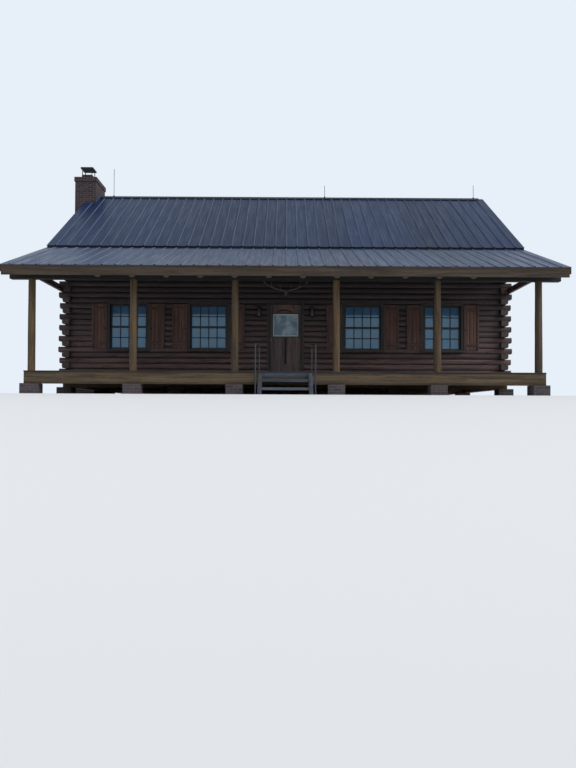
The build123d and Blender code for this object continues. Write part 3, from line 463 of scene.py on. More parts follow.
# One rule lays every log: a half round face on a flat back, worn a little uneven, held between the heights
# given on its ends where it runs over or under an opening, and cut off along the slope of the roof
log_bulge, log_backing = 0.066, 0.134
stacked, given = rule(
    "stacked_logs", Height=course_height, Bulge=log_bulge, Backing=log_backing, Outward=(0.0, -1.0, 0.0),
    Seam=0.0, Wear=0.009, Station=0.2, Peak=100.0, Pitch=1.0, Middle=0.0, Material=None,
)
place = result(stacked, "GeometryNodeInputPosition")
at = node(stacked, "ShaderNodeSeparateXYZ", {0: place}).outputs
behind = sums(stacked, "LESS_THAN", at["X"], -0.01)
bulging = sums(stacked, "POWER", sums(stacked, "MAXIMUM", at["X"], 0.0), 0.42)
bulging = sums(stacked, "MULTIPLY", bulging, given["Bulge"])
deep = either(stacked, behind, bulging, sums(stacked, "MULTIPLY", given["Backing"], -1.0))
squared = held(stacked, sums(stacked, "MULTIPLY", at["Y"], 1.09), -1.0, 1.0)
tall = either(stacked, behind, at["Y"], squared)
tall = sums(stacked, "MULTIPLY", tall, sums(stacked, "MULTIPLY", given["Height"], 0.5))
circle = result(stacked, "GeometryNodeCurvePrimitiveCircle", {"Resolution": 16, "Radius": 1.0})
moved = result(stacked, "ShaderNodeCombineXYZ", {0: deep, 1: tall})
profile = result(stacked, "GeometryNodeSetPosition", {"Geometry": circle, "Position": moved})
line = result(stacked, "GeometryNodeMeshToCurve", {"Mesh": given["Geometry"]})
stations = {"Curve": line, "Length": given["Station"]}
line = result(stacked, "GeometryNodeResampleCurve", stations, mode="LENGTH")
line = result(stacked, "GeometryNodeSetCurveNormal", {"Curve": line}, mode="Z_UP")
log = sweep(stacked, line, profile)
up = held(stacked, at["Z"], measure(stacked, "low"), measure(stacked, "high"))
up = sums(stacked, "MINIMUM", up, given["Peak"])
half = sums(stacked, "DIVIDE", sums(stacked, "SUBTRACT", given["Peak"], up), given["Pitch"])
near, far = [sums(stacked, kind, given["Middle"], half) for kind in ("SUBTRACT", "ADD")]
moved = result(stacked, "ShaderNodeCombineXYZ", {0: at["X"], 1: held(stacked, at["Y"], near, far), 2: up})
stood = {0: place, 1: given["Outward"]}
stood = node(stacked, "ShaderNodeVectorMath", stood, operation="DOT_PRODUCT").outputs["Value"]
stood = spread(stacked, sums(stacked, "SUBTRACT", stood, given["Seam"]), 0.0, 0.05)
worn = sums(stacked, "SUBTRACT", noise(stacked, place, 2.3), 0.85)
worn = sums(stacked, "MINIMUM", sums(stacked, "MULTIPLY", worn, given["Wear"]), 0.0)
worn = {0: given["Outward"], "Scale": sums(stacked, "MULTIPLY", worn, stood)}
push = result(stacked, "ShaderNodeVectorMath", worn, operation="SCALE")
log = result(stacked, "GeometryNodeSetPosition", {"Geometry": log, "Position": moved, "Offset": push})
finish_rule(stacked, log, given["Material"])


def course_runs(course, start, end, openings):
    """The stretches of one course between its ends, with the strips left under and over the openings."""
    low = course_foot + course * course_height
    high = low + course_height
    runs = []
    for left, right, sill, head in openings:
        if sill < high and head > low:
            runs.append((start, left, low, high))
            if sill > low:
                runs.append((left, right, low, sill))
            if head < high:
                runs.append((left, right, head, high))
            start = right
    return runs + [(start, end, low, high)]


def lay(name, runs, place, finish, *nodes, **inputs):
    """Lays a wall's logs. A run is its start, end, low and high; place makes a point of length and height."""
    spots, lows, highs = [], [], []
    for start, end, low, high in runs:
        course = math.floor((low - course_foot) / course_height + 0.01)
        middle = course_foot + (course + 0.5) * course_height
        spots.append([place(start, middle), place(end, middle)])
        lows += [low, low]
        highs += [high, high]
    logs = grow(name, lines(name + "_runs", spots, low=lows, high=highs), stacked, finish, 40, **inputs)
    keep(logs, "cabin", "wall_logs", *nodes)


wall_courses, gable_courses = 23, 19
inner_x, outer_x, tip_x = 5.97, 6.17, 6.31
front_y, inner_front, inner_back, back_y = -0.1, 0.1, 7.015, 7.215
ridge_y, log_tip, tip_step = 3.5575, 0.14, 0.008
window_half, window_low, window_high = 0.537, 1.344, 2.628
door_half, door_head = 0.513, 2.714
window_rows = (-4.3702, -2.1447, 2.1447, 4.3702)
side_window_rows = (ridge_y - 1.9, ridge_y + 1.9)
openings, side_openings = [
    [(middle - window_half, middle + window_half, window_low, window_high) for middle in rows]
    for rows in (window_rows, side_window_rows)
]
front_openings = sorted(openings + [(-door_half, door_half, 0.0, door_head)])
front_runs, back_runs = [], []
for course in range(wall_courses):
    reach = tip_x - tip_step * (course * 3 % 5) if course % 2 else inner_x
    front_runs += course_runs(course, -reach, reach, front_openings)
    back_runs += course_runs(course, -reach, reach, openings)
# The front wall's logs get painted shade towards the top, under the porch roof
front_logs = stained_log("front_wall_logs", "X", 0.0, 0.75)
lay("front_logs", front_runs, lambda x, z: (x, front_y + log_bulge, z), front_logs, "front_wall_left",
    "front_wall_right", "front_wall_over_door", Outward=(0.0, -1.0, 0.0), Seam=-front_y - log_bulge)
back_logs = stained_log("back_wall_logs", "X", (inner_back + back_y) / 2)
lay("back_logs", back_runs, lambda x, z: (-x, back_y - log_bulge, z), back_logs, "back_wall",
    Outward=(0.0, 1.0, 0.0), Seam=back_y - log_bulge)

gable_peak, gable_pitch, shortest_half = 6.8306, 0.7122, 0.05
flush_courses = (0, wall_courses - 1)
side_runs = []
for course in range(wall_courses):
    start, end = inner_front, inner_back
    if course % 2 == 0:
        uneven = tip_step * (course * 2 % 5)
        start, end = front_y - log_tip + uneven, back_y + log_tip - uneven
        if course in flush_courses:
            start = front_y
    side_runs += course_runs(course, start, end, side_openings)
for course in range(wall_courses, wall_courses + gable_courses):
    half = (gable_peak - course_foot - course * course_height) / gable_pitch
    if half > shortest_half:
        side_runs += course_runs(course, max(front_y, ridge_y - half), min(back_y, ridge_y + half), [])
for side, name in ((-1, "left"), (1, "right")):
    runs = side_runs if side > 0 else [(-end, -start, low, high) for start, end, low, high in side_runs]
    side_logs = stained_log(name + "_wall_logs", "Y", side * (inner_x + outer_x) / 2)
    lay(name + "_logs", runs, lambda y, z: (side * (outer_x - log_bulge), side * y, z), side_logs,
        name + "_wall", name + "_gable", Outward=(float(side), 0.0, 0.0), Seam=outer_x - log_bulge,
        Peak=gable_peak, Pitch=gable_pitch, Middle=ridge_y)
side_beam_heart = 6.5
dress(stained_log("side_beam_logs", "Y", side_beam_heart), "side_beams")

# The porch frame: six round peeled log posts, weathered to a dull gold brown, under one long beam painted
# near black as shade.
# Each post stands on the deck and carries the beam on its head.
post_pitch, post_count, post_foot, post_head = 2.4384, 6, 0.6, 2.8004

# One rule makes every round piece along its line, with a girth on each point; logs get a bow and lumps too
pole, given = rule("pole", Sides=20, Cuts=0, Bend=0.0, Bow=0.0, Lumps=0.0, Material=None)
line = result(pole, "GeometryNodeMeshToCurve", {"Mesh": given["Geometry"]})
bending = {"Curve": line, "Count": 6, "Radius": given["Bend"], "Limit Radius": True}
line = result(pole, "GeometryNodeFilletCurve", bending, mode="POLY")
line = result(pole, "GeometryNodeSubdivideCurve", {"Curve": line, "Cuts": given["Cuts"]})
place = result(pole, "GeometryNodeInputPosition")
sway = node(pole, "ShaderNodeTexNoise", {"Vector": place, "Scale": 0.6, "Detail": 1.0}).outputs["Color"]
sway = {0: vectors(pole, "SUBTRACT", sway, (0.5, 0.5, 0.5)), "Scale": given["Bow"]}
sway = result(pole, "ShaderNodeVectorMath", sway, operation="SCALE")
line = result(pole, "GeometryNodeSetPosition", {"Geometry": line, "Offset": sway})
lump = sums(pole, "MULTIPLY", sums(pole, "SUBTRACT", noise(pole, place, 1.9), 0.62), given["Lumps"])
girth = sums(pole, "MULTIPLY", measure(pole, "girth"), sums(pole, "ADD", lump, 1.0))
ring = result(pole, "GeometryNodeCurvePrimitiveCircle", {"Resolution": given["Sides"], "Radius": 1.0})
finish_rule(pole, sweep(pole, line, ring, Scale=girth), given["Material"])


def poles(name, runs, girths, finish, slot, *nodes, body="cabin", smooth=40, **sizes):
    """Round pieces, one along each run, kept as one piece. Girths is one number, or one for each point."""
    if isinstance(girths, float):
        girths = [girths] * sum(len(run) for run in runs)
    made = grow(name, lines(name + "_runs", runs, girth=girths), pole, finish, smooth, **sizes)
    keep(made, body, slot, *nodes)


def upright(x, y, foot, head):
    """An upright centre line."""
    return [(x, y, foot), (x, y, head)]


post_timber = wood("post_timber", (48, 37, 23), (88, 69, 43), "Z", 0.5, "X", 0.0, 0.8, 0.2)
post_places = [(i - (post_count - 1) / 2) * post_pitch for i in range(post_count)]
runs = [upright(x, post_y, post_foot, post_head) for x in post_places]
poles("log_posts", runs, [0.090, 0.083] * post_count, post_timber, "porch_timber", "porch_posts",
      Sides=24, Cuts=12, Bow=0.012, Lumps=0.12)
# The beam's near black colour is painted shade under the porch roof's eave
dress(wood("beam_timber_painted_shade", (13, 11, 12), (27, 23, 20), "X", 3.0, "X", 0.0, 0.8, 0.2), "porch_beam")

# The porch roof: peeled round rafters on the beam, sawn ones outside the end posts, ceiling boards over
# them, sleepers and sheathing under the metal, and a fascia along the eave. The main roof has the same
# sawn rafters and sheathing, with a ridge board between the slopes and boards along the rakes.
rafter_pitch, rafter_count, rafter_girth = 0.8128, 12, 0.091
porch_high, porch_slope, rafter_below = 4.19, 0.4014, 0.2597
nose_y, pocket_y = -2.66, -0.04
runs = []
for i in range(rafter_count):
    x = (i - (rafter_count - 1) / 2) * rafter_pitch
    runs.append([(x, y, porch_high - porch_slope * (front_y - y) - rafter_below) for y in (nose_y, pocket_y)])
peeled = wood("peeled_log", (44, 35, 27), (78, 63, 46), "Y", rafter_pitch, "X", 0.0, 0.75, 0.15,
              cut=(104, 90, 70))
poles("rafter_poles", runs, rafter_girth, peeled, "round_logs", "log_rafters",
      Sides=24, Cuts=12, Bow=0.01, Lumps=0.1)
rafter_timber = wood("rafter_timber", (84, 64, 44), (128, 102, 72), "Y", 0.6, "X")
dress(rafter_timber, "end_rafters", "main_rafters", "porch_sleepers")
sheathing = wood("ceiling_board", (88, 68, 46), (136, 110, 78), "X", 0.14, "Y", 0.03)
dress(sheathing, "porch_ceiling_boards", "porch_roof_boards")
dress(sheathing, "main_roof_boards_front", "main_roof_boards_back")
for board, along, across in (("porch_fascia", "X", "Z"), ("rake_boards", "Y", "X")):
    dress(wood(board, (40, 32, 25), (68, 54, 41), along, 5.0, across, 0.0, 0.85, 0.3), board)
dress(wood("ridge_timber", (84, 64, 44), (128, 102, 72), "X"), "ridge_board")

# The roof: ribbed steel sheet, factory painted a dark slate blue, screwed down on the boards, with a bent
# cap over the ridge and three thin rods on it. Rain has left faint streaks down the slope.
rib_pitch, half_ribs, sheet_wide = 0.3048, 21, 0.9144
rake_x, main_high, closure_y, closure_middle = 6.612, 6.865, front_y - 0.0025, 4.215
chimney_right, chimney_half, flashing_out = -6.27, 0.5, 0.0275


def roof_coat(name, sheen):
    """Slate blue paint, a little different from sheet to sheet, with a painted highlight on the right flanks
    of the ribs.
    """
    tint = (0.38, 0.64, 1.0, 1)
    made, tree, shader = finish_tree(name, Specular_IOR_Level=sheen, Specular_Tint=tint)
    place, spot, facing = axes(tree)
    number = sums(tree, "FLOOR", sums(tree, "DIVIDE", spot["X"], sheet_wide))
    sheet = node(tree, "ShaderNodeTexWhiteNoise", {"W": number}, noise_dimensions="1D").outputs["Value"]
    streak = noise(tree, vectors(tree, "MULTIPLY", place, (1.0, 0.06, 0.06)), 16.0, 5.0)
    tone = blend(tree, sheet, paint(18, 33, 60), paint(25, 42, 74))
    tone = blend(tree, spread(tree, streak, 0.5, 0.75, 0.0, 0.3), tone, paint(42, 60, 90))
    dull = spread(tree, noise(tree, place, 0.7, 5.0), 0.45, 0.75, 0.0, 0.3)
    tone = blend(tree, dull, tone, paint(14, 26, 50))
    # Painted highlight: the ribs' right flanks are lighter, as if lit from the right
    tone = blend(tree, spread(tree, facing["X"], 0.3, 0.6, 0.0, 0.3), tone, paint(116, 130, 156))
    gloss = spread(tree, streak, 0.3, 0.7, 0.34, 0.5)
    coat(tree, shader, noise(tree, place, 2.5, 1.0), 0.25, 0.01, Base_Color=tone, Roughness=gloss)
    return made


def plain_finish(name, color, worn_color, rough, metallic, scale):
    """Clay, bone, metal or frosted glass: an even colour with rubbed spots, fine pits and uneven gloss."""
    made, tree, shader = finish_tree(name, Metallic=metallic)
    place = axes(tree)[0]
    pits = noise(tree, place, scale * 4, 4.0)
    rubbed = spread(tree, noise(tree, place, scale, 6.0), 0.48, 0.7)
    tone = blend(tree, rubbed, paint(*color), paint(*worn_color))
    gloss = spread(tree, pits, 0.3, 0.7, rough - 0.1, rough + 0.1)
    coat(tree, shader, pits, 0.2, 0.002, Base_Color=tone, Roughness=gloss)
    return made


# The paint has more sheen on the porch roof
roof_paint = roof_coat("roof_paint", 0.12)
dress(roof_paint, "main_roof_metal_front", "main_roof_metal_back")
dress(roof_coat("porch_roof_paint", 0.45), "porch_roof_metal")
# Near black: the ridge cap's own dark metal, and painted shade in the strip under the main eave
dark_strip_and_painted_shade = plain_finish("dark_strip_and_painted_shade", (20, 22, 30), (12, 13, 18), 0.8, 0, 12.0)
dress(dark_strip_and_painted_shade, "ridge_cap")
dress(plain_finish("rod_metal", (46, 46, 50), (34, 33, 34), 0.6, 0.3, 30.0), "lightning_rods")

# A folded strip closes the gap under the main eave, and flashing follows both slopes along the chimney's
# inner face
# The strip's near black colour is painted shade under the main eave
closure = level(-rake_x, rake_x, closure_y, closure_middle)
planks("eave_closure", [closure], dark_strip_and_painted_shade, "roof_metal", Wide=0.015, Thick=0.05, Edge=0.002)
runs = []
for side in (-1, 1):
    out = chimney_half + flashing_out
    x, top = chimney_right + 0.006, main_high + 0.02
    runs.append([(x, ridge_y + side * out, top - gable_pitch * out), (x, ridge_y, top)])
planks("chimney_flashing", runs, roof_paint, "roof_metal", Wide=0.004, Thick=0.06, Edge=0.001)

# Screws with washer heads hold the sheets down beside every rib, in rows across the slope
screw_sizes = {"Head": 0.007, "Washer": 0.011, "Rise": 0.008}
screwed, given = rule("roof_screws", Tilt=(0.0, 0.0, 0.0), **screw_sizes, Material=None)
cone = {"Vertices": 8, "Radius Bottom": given["Washer"], "Radius Top": given["Head"]}
cone["Depth"] = sums(screwed, "MULTIPLY", given["Rise"], 0.4)
hexagon = {"Vertices": 6, "Radius": given["Head"], "Depth": given["Rise"]}
both = screwed.nodes.new("GeometryNodeJoinGeometry")
screwed.links.new(result(screwed, "GeometryNodeMeshCone", cone), both.inputs[0])
screwed.links.new(result(screwed, "GeometryNodeMeshCylinder", hexagon), both.inputs[0])
tilted = result(screwed, "FunctionNodeEulerToRotation", {0: given["Tilt"]})
set_down = {"Points": given["Geometry"], "Instance": both.outputs[0], "Rotation": tilted}
set_down = result(screwed, "GeometryNodeInstanceOnPoints", set_down)
finish_rule(screwed, set_down, given["Material"])
beside_rib, screw_clear = 0.045, 0.1
for name, top_y, top_z, slope, side, first, last, step in (
    ("front_roof_screws", ridge_y, main_high, gable_pitch, -1, 0.25, 3.6, 0.61),
    ("back_roof_screws", ridge_y, main_high, gable_pitch, 1, 0.25, 4.0, 0.61),
    ("porch_roof_screws", front_y, porch_high, porch_slope, -1, 0.12, 2.85, 0.54),
):
    spots = []
    for row in range(int((last - first) / step) + 1):
        out = first + row * step
        y = top_y + side * out
        for i in range(-half_ribs, half_ribs + 1):
            x = i * rib_pitch + beside_rib
            if x > chimney_right + screw_clear or abs(y - ridge_y) > chimney_half + screw_clear:
                spots.append([(x, y, top_z - slope * out)])
    tilt = (side * -math.atan(slope), 0.0, 0.0)
    keep(grow(name, lines(name + "_spots", spots), screwed, roof_paint, Tilt=tilt), "cabin", "roof_metal")

# The chimney: an outside stack of old brick with two shoulders, a crown of corbelled courses, a clay flue
# and a flat metal hood on thin legs against the rain.
dress(brickwork("stack_brick", (66, 47, 47), (34, 27, 32), (88, 84, 85), 0.4), "chimney")
dress(plain_finish("flue_clay", (40, 33, 31), (66, 48, 42), 0.9, 0, 12.0), "chimney_flue")
black_iron = plain_finish("black_iron", (16, 16, 19), (34, 32, 32), 0.75, 0.0, 20.0)
dress(black_iron, "chimney_hood")

# The windows: double hung sashes in dark stained frames, set in openings of the log walls. Each sash is
# glazed with small panes between thin bars.
trim = wood("window_trim", (22, 18, 20), (46, 37, 36), "Z", 0.3, "X", 0.0, 0.6, 0.1)
sash = wood("sash_wood", (12, 13, 20), (24, 25, 34), "Z", 0.3, "X", 0.0, 0.55, 0.05)
dress(trim, "window_frames", "door_frame")
dress(sash, "window_sashes")

# One rule sets the thin bars into every sash, four panes across and two high
bar_sizes = {"Width": 0.93, "Height": 0.5475, "Columns": 4, "Rows": 2, "Bar": 0.027, "Deep": 0.026}
glazed, given = rule("sash_bars", **bar_sizes, Material=None)
grids = glazed.nodes.new("GeometryNodeJoinGeometry")
for length, count, across in ((given["Width"], given["Columns"], 0), (given["Height"], given["Rows"], 2)):
    cell = sums(glazed, "DIVIDE", length, count)
    first = sums(glazed, "SUBTRACT", cell, sums(glazed, "MULTIPLY", length, 0.5))
    size = {0: given["Bar"], 1: given["Deep"], 2: given["Height"]}
    if across == 2:
        size = {0: given["Width"], 1: given["Deep"], 2: given["Bar"]}
    bar = result(glazed, "GeometryNodeMeshCube", {"Size": result(glazed, "ShaderNodeCombineXYZ", size)})
    row = {"Count": sums(glazed, "SUBTRACT", count, 1.0)}
    for label, value in (("Start Location", first), ("Offset", cell)):
        row[label] = result(glazed, "ShaderNodeCombineXYZ", {across: value})
    row = result(glazed, "GeometryNodeMeshLine", row)
    set_in = result(glazed, "GeometryNodeInstanceOnPoints", {"Points": row, "Instance": bar})
    glazed.links.new(set_in, grids.inputs[0])
turn = result(glazed, "ShaderNodeCombineXYZ", {2: measure(glazed, "turn")})
turn = result(glazed, "FunctionNodeEulerToRotation", {0: turn})
set_in = {"Points": given["Geometry"], "Instance": grids.outputs[0], "Rotation": turn}
finish_rule(glazed, result(glazed, "GeometryNodeInstanceOnPoints", set_in), given["Material"])
glass_in, window_middle, sash_rise = 0.0825, 1.986, 0.29625
spots, turns = [], []
for z in (window_middle - sash_rise, window_middle + sash_rise):
    for x in window_rows:
        spots += [[(x, front_y + glass_in, z)], [(x, back_y - glass_in, z)]]
        turns += [0.0, math.pi]
    for side in (-1, 1):
        for y in side_window_rows:
            spots.append([(side * (outer_x - glass_in), y, z)])
            turns.append(side * math.pi / 2)
keep(grow("window_bars", lines("sash_middles", spots, turn=turns), glazed, sash), "cabin", "sash_paint")

# A rail covers the place where the upper and the lower sash meet
rail_in, rail_half = 0.063, 0.465
runs = []
for x in window_rows:
    for y in (front_y + rail_in, back_y - rail_in):
        runs.append(level(x - rail_half, x + rail_half, y, window_middle))
for side in (-1, 1):
    for y in side_window_rows:
        x = side * (outer_x - rail_in)
        runs.append([(x, y - rail_half, window_middle), (x, y + rail_half, window_middle)])
planks("meeting_rails", runs, sash, "sash_paint", Wide=0.01, Thick=0.06)

# The panes are painted dark blue as reflected sky, with a slight ripple, and a clear gloss that reflects as
# well
pane, tree, shader = finish_tree(
    "window_pane", Roughness=0.06, Specular_IOR_Level=1.0, Specular_Tint=(0.5, 0.8, 1.0, 1), Coat_Weight=0.3,
    Coat_Roughness=0.03,
)
ripple = noise(tree, axes(tree)[0], 3.0)
tone = blend(tree, ripple, paint(50, 82, 110), paint(78, 116, 144))
coat(tree, shader, ripple, 0.3, 0.004, Base_Color=tone)
dress(pane, "window_glass")

# The shutters: three upright boards between two stiles, with two rails across them, stained red brown.
# They stand open, flat on the wall, and each has an iron latch on its edge by the window.
stain = wood("shutter_board", (54, 30, 22), (98, 58, 42), "Z", 0.105, "X", 0.0, 0.6, 0.05)
stile_stain = wood("shutter_stile", (36, 22, 18), (70, 44, 35), "Z", 0.43, "X", 0.0, 0.6, 0.05)
rail_stain = wood("shutter_rail", (36, 22, 18), (70, 44, 35), "X", 0.43, "X", 0.0, 0.6, 0.05)
shutter_off, shutter_wide, shutter_foot, shutter_head = 0.793, 0.43, 1.37, 2.62
board_thick, stile_thick, rail_thick, latch_out = 0.02, 0.036, 0.032, 0.038
stile_wide, rail_levels, rail_high, latch_level, latch_half = 0.058, (1.52, 2.49), 0.085, 1.93, 0.035
inner = shutter_wide / 2 - stile_wide
inner_pitch = inner * 2 / 3
board_runs, stile_runs, rail_runs, latch_runs = [], [], [], []
for x in window_rows:
    for side in (-1, 1):
        middle = x + side * shutter_off
        for i in (-1, 0, 1):
            spot = middle + i * inner_pitch
            board_runs.append(upright(spot, front_y - board_thick / 2, shutter_foot, shutter_head))
        for turn in (-1, 1):
            spot = middle + turn * (inner + stile_wide / 2)
            stile_runs.append(upright(spot, front_y - stile_thick / 2, shutter_foot, shutter_head))
        for z in rail_levels:
            rail_runs.append(level(middle - inner, middle + inner, front_y - rail_thick / 2, z))
        latch = middle - side * inner
        latch_runs.append(level(latch - latch_half, latch + latch_half, front_y - latch_out, latch_level))
planks("shutter_boards", board_runs, stain, "shutter_stain", "shutters",
       Wide=inner_pitch - 0.004, Thick=board_thick, Edge=0.003)
planks("shutter_stiles", stile_runs, stile_stain, "shutter_stain",
       Wide=stile_wide, Thick=stile_thick, Edge=0.004)
planks("shutter_rails", rail_runs, rail_stain, "shutter_stain", Wide=rail_thick, Thick=rail_high)
planks("shutter_latches", latch_runs, black_iron, "black_metal", Wide=0.008, Thick=0.03)

# The front door: a dark stained slab faced with boards under a half light of patterned glass, with a worn
# brass knob. Three steel hinges on its right let it swing into the house.
door_wood = wood("door_board", (60, 46, 47), (106, 84, 80), "Z", 0.148, "X", 0.0, 0.55, 0.05)
dress(door_wood, "front_door")
dress(plain_finish("worn_brass", (108, 88, 54), (70, 58, 40), 0.35, 1.0, 60.0), "door_knob")
steel = plain_finish("hinge_steel", (110, 106, 100), (78, 72, 66), 0.45, 0.9, 60.0)
dress(steel, "hinge_leaves", "hinge_pins")

# The glass is pale and mottled, and paler towards its edges
glass_half, glass_low, glass_high = 0.365, 1.75, 2.38
glass_middle, glass_rise = (glass_low + glass_high) / 2, (glass_high - glass_low) / 2
patterned, tree, shader = finish_tree("patterned_glass", Roughness=0.3, Specular_IOR_Level=0.4)
place, spot, facing = axes(tree)
wide = sums(tree, "DIVIDE", sums(tree, "ABSOLUTE", spot["X"]), glass_half)
high = sums(tree, "ABSOLUTE", sums(tree, "SUBTRACT", spot["Z"], glass_middle))
edge = sums(tree, "MAXIMUM", wide, sums(tree, "DIVIDE", high, glass_rise))
mottle = spread(tree, noise(tree, place, 4.5, 5.0), 0.4, 0.62)
tone = blend(tree, mottle, paint(96, 124, 146), paint(152, 172, 178))
tone = blend(tree, spread(tree, edge, 0.86, 0.95), tone, paint(190, 198, 196))
seedy = result(tree, "ShaderNodeTexVoronoi", {"Vector": place, "Scale": 90.0})
coat(tree, shader, seedy, 0.3, 0.002, Base_Color=tone)
dress(patterned, "door_glass")

# Facing boards on the slab, with a moulded bead round the glass
facing_y, facing_pitch, facing_count, edge_x = 0.051, 0.147, 5, 0.402
slab_low, slab_high, bead_wide, bead_y, bead_thick = 0.64, 2.645, 0.03, 0.047, 0.016
under_bead, over_bead = glass_low - bead_wide, glass_high + bead_wide
runs = [upright(x, facing_y, slab_low, slab_high) for x in (-edge_x, edge_x)]
planks("door_edges", runs, door_wood, "door_stain", body="door", Wide=0.066, Thick=0.008)
runs = []
for i in range(facing_count):
    x = (i - (facing_count - 1) / 2) * facing_pitch
    runs += [upright(x, facing_y, slab_low, under_bead), upright(x, facing_y, over_bead, slab_high)]
facing_wide = facing_pitch - 0.004
planks("door_boards", runs, door_wood, "door_stain", body="door", Wide=facing_wide, Thick=0.008, Edge=0.002)
bead_wood = wood("door_bead", (24, 20, 20), (44, 36, 34), "X", 0.5, "Z", 0.0, 0.5, 0.0)
bead_x = glass_half + 0.004
runs = [upright(x, bead_y, under_bead, over_bead) for x in (-bead_x, bead_x)]
planks("door_bead_sides", runs, bead_wood, "door_stain", body="door", Wide=bead_wide, Thick=bead_thick)
runs = [level(-glass_half, glass_half, bead_y, z) for z in (glass_low - 0.012, glass_high + 0.012)]
planks("door_bead_ends", runs, bead_wood, "door_stain", body="door", Wide=bead_thick, Thick=bead_wide)


def half_round(half, rise, steps):
    """Points over a half round, from right to left."""
    turns = [math.pi * i / steps for i in range(steps + 1)]
    return [(half * math.cos(turn), rise * math.sin(turn)) for turn in turns]


# Over the glass sits a half round board with a small iron arch on it
crest_low, crest_back, crest_front = 2.45, 0.047, 0.034
rim = [(x, crest_low + z) for x, z in half_round(half=0.24, rise=0.17, steps=20)]
count = len(rim)
sides = [(i, (i + 1) % count, count + (i + 1) % count, count + i) for i in range(count)]
mesh = bpy.data.meshes.new("door_crest")
mesh.from_pydata(
    [(x, y, z) for y in (crest_back, crest_front) for x, z in rim],
    [],
    [tuple(range(count, 2 * count)), tuple(reversed(range(count)))] + sides,
)
shaped = bmesh.new()
shaped.from_mesh(mesh)
bmesh.ops.recalc_face_normals(shaped, faces=shaped.faces)
shaped.to_mesh(mesh)
shaped.free()
mesh.materials.append(wood("crest_board", (88, 60, 46), (126, 92, 70), "X", 0.5, "Z", 0.0, 0.6, 0.0))
keep(stand("door_crest", mesh), "door", "door_stain")
arch_left, arch_low = 0.04, 2.42
runs = [[(x - arch_left, crest_front, arch_low + z) for x, z in half_round(half=0.18, rise=0.07, steps=12)]]
poles("door_arch", runs, 0.018, black_iron, "hinge_steel", body="door", Sides=12)

# Down the middle of the boards hangs an iron strip with small brass bells, each wider than the one above
bell_count, bell_top, bell_pitch, bell_y = 9, 1.66, 0.078, 0.036
bell = ((-0.004, 0.004), (-0.010, 0.012), (-0.018, 0.017), (-0.026, 0.019), (-0.034, 0.018), (-0.042, 0.013),
        (-0.046, 0.004))
strip_y, strip_foot, strip_head = 0.042, 0.98, 1.715
strip = upright(0, strip_y, strip_foot, strip_head)
planks("bell_strip", [strip], black_iron, "hinge_steel", body="door", Wide=0.05, Thick=0.008)
runs, girths = [], []
for i in range(bell_count):
    runs.append([(0, bell_y, bell_top - i * bell_pitch + up) for up, radius in bell])
    girths += [radius * (1 + 0.05 * i) for up, radius in bell]
bell_brass = plain_finish("bell_brass", (44, 37, 28), (20, 19, 20), 0.5, 0.6, 60.0)
poles("strip_bells", runs, girths, bell_brass, "knob_brass", body="door", Sides=14)

# The lanterns: one on each side of the door, each a frosted glass globe in a cage of thin iron wires
# between a turned dish and hood. Two iron arms hold it off a plate on the wall.
lantern_x, lantern_y, lantern_foot = 0.735, -0.22, 2.25
plate_high, plate_thick = 0.32, 0.015
cage_out, cage_wires, cage_foot, cage_head = 0.052, 4, 0.012, 0.236


def turned(name, places, outlines, finish, slot, *nodes):
    """Shapes turned on a lathe, set at each place. An outline gives heights and radii."""
    shapes = [(place, outline) for place in places for outline in outlines]
    runs = [[(x, y, z + up) for up, radius in outline] for (x, y, z), outline in shapes]
    girths = [radius for place, outline in shapes for up, radius in outline]
    poles(name, runs, girths, finish, slot, *nodes, smooth=35, Sides=24)


both_sides = [(side * lantern_x, lantern_y, lantern_foot) for side in (-1, 1)]
dish = ((0.0, 0.012), (0.001, 0.022), (0.008, 0.034), (0.014, 0.050), (0.022, 0.052), (0.024, 0.046))
hood = ((0.228, 0.069), (0.232, 0.070), (0.238, 0.066), (0.252, 0.050), (0.272, 0.036), (0.285, 0.030),
        (0.288, 0.022), (0.300, 0.020), (0.304, 0.012), (0.315, 0.010), (0.320, 0.002))
globe = ((0.020, 0.030), (0.030, 0.039), (0.050, 0.045), (0.085, 0.047), (0.130, 0.046), (0.170, 0.041),
         (0.205, 0.033), (0.232, 0.028))
turned("lantern_caps", both_sides, (dish, hood), black_iron, "black_metal", "wall_lanterns")
frosted = plain_finish("frosted_glass", (72, 76, 82), (56, 59, 64), 0.3, 0, 20.0)
turned("lantern_glass", both_sides, (globe,), frosted, "lantern_glass", "lantern_globes")
plates, wires, arms = [], [], []
for x, y, z in both_sides:
    plates.append(upright(x, front_y - plate_thick / 2, z, z + plate_high))
    for i in range(cage_wires):
        turn = (i + 0.5) * 2 * math.pi / cage_wires
        wire_x, wire_y = x + cage_out * math.cos(turn), y + cage_out * math.sin(turn)
        wires.append(upright(wire_x, wire_y, z + cage_foot, z + cage_head))
    upper, lower, foot = z + 0.30, z + 0.04, z + 0.008
    arms.append([(x, front_y - 0.01, upper), (x, y, upper), (x, y, z + 0.28)])
    arms.append([(x, front_y - 0.01, lower), (x, front_y - 0.055, foot), (x, y, foot)])
planks("lantern_plates", plates, black_iron, "black_metal", Wide=0.07, Thick=plate_thick)
poles("lantern_cages", wires, 0.005, black_iron, "black_metal", Sides=8)
poles("lantern_arms", arms, 0.008, black_iron, "black_metal", Sides=10, Bend=0.02)

# The antlers: a weathered pair with four tines each, on a mount of bone and a stained wooden plaque,
# which is fixed to the logs over the door.
bone = plain_finish("antler_bone", (84, 78, 72), (56, 50, 47), 0.6, 0, 12.0)
skull_y, skull_level, skull_foot = -0.153, 2.995, 2.845
antler_reach, antler_forward, antler_rise, antler_steps = 0.685, 0.15, 0.42, 18
tine_count, tine_steps, tine_long = 4, 6, 0.19
beam_girth, beam_thins, tine_girth, tine_thins = 0.027, 0.018, 0.015, 0.011


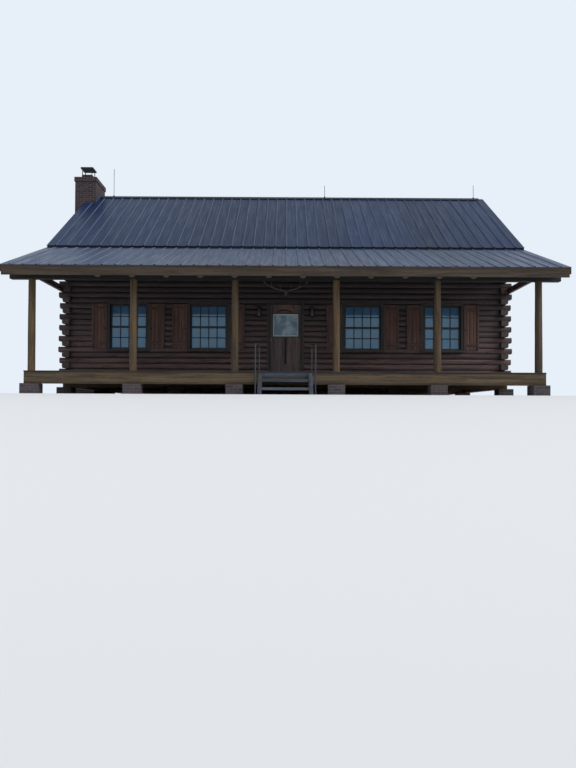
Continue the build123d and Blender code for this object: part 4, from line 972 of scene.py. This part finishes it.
def antler_point(side, share):
    """A place on one main beam of the antlers, which sweeps out, forward and up from the skull."""
    turn = share * math.pi / 2
    y = skull_y - antler_forward * math.sin(2 * turn)
    return Vector((side * antler_reach * math.sin(turn), y, skull_level + antler_rise * (1 - math.cos(turn))))


runs, girths = [], []
for side in (-1, 1):
    shares = [i / antler_steps for i in range(antler_steps + 1)]
    runs.append([tuple(antler_point(side, share)) for share in shares])
    girths += [beam_girth - beam_thins * share for share in shares]
    heading = Vector((side * 0.2, -0.8, 1.0)).normalized()
    curl = Vector((0, 0.35, 0.25))
    marks = [j / tine_steps for j in range(tine_steps + 1)]
    for i in range(tine_count):
        root = antler_point(side, (i + 0.5) / tine_count)
        runs.append([tuple(root + tine_long * (heading * m + curl * m * m * 0.3)) for m in marks])
        girths += [tine_girth - tine_thins * m for m in marks]
poles("antler_horns", runs, girths, bone, "antler_bone", "antlers", smooth=50, Sides=12, Lumps=0.25)
snout = ((0.0, 0.014), (0.004, 0.022), (0.03, 0.027), (0.08, 0.032), (0.12, 0.042), (0.155, 0.052),
         (0.18, 0.050), (0.195, 0.038), (0.20, 0.014))
turned("antler_skull", [(0, skull_y, skull_foot)], (snout,), bone, "antler_bone")
plaque_wood = wood("plaque", (42, 28, 22), (70, 48, 36), "Z", 1.0, "X", 0.0, 0.5, 0.0)
plaque_thick = 0.022
plaque = [upright(0, front_y - plaque_thick / 2, 2.815, 3.075)]
planks("antler_plaque", plaque, plaque_wood, "wall_logs", Wide=0.19, Thick=plaque_thick, Edge=0.008)

# The steps: two thick open treads let into heavy stringers, with a riser under the deck's edge, all gone
# blue grey, and a bent pipe rail on each side.
step_wood = wood("step_tread", (52, 60, 72), (82, 91, 104), "X", 0.3, "Z", 0.0, 0.85, 0.4)
dress(step_wood, "step_treads")
riser_half, riser_y, riser_middle = 0.549, -2.522, 0.512
riser = [level(-riser_half, riser_half, riser_y, riser_middle)]
planks("top_riser", riser, step_wood, "step_timber", Wide=0.014, Thick=0.124)
dress(wood("step_stringer", (46, 53, 64), (74, 82, 94), "Y", 0.3, "X", 0.0, 0.85, 0.4), "step_stringers")
pipe = plain_finish("rail_metal", (38, 41, 50), (27, 28, 33), 0.6, 0.0, 25.0)
ground_x, ground_y, ground_high = 0.69, -3.14, 1.19
deck_x, deck_y, deck_high, deck_foot = 0.63, -2.48, 1.25, 0.6
runs = []
for side in (-1, 1):
    low, high = upright(side * ground_x, ground_y, 0, ground_high)
    runs.append([low, high] + upright(side * deck_x, deck_y, deck_high, deck_foot))
poles("pipe_rails", runs, 0.017, pipe, "rail_metal", "handrails", Sides=14, Bend=0.09)
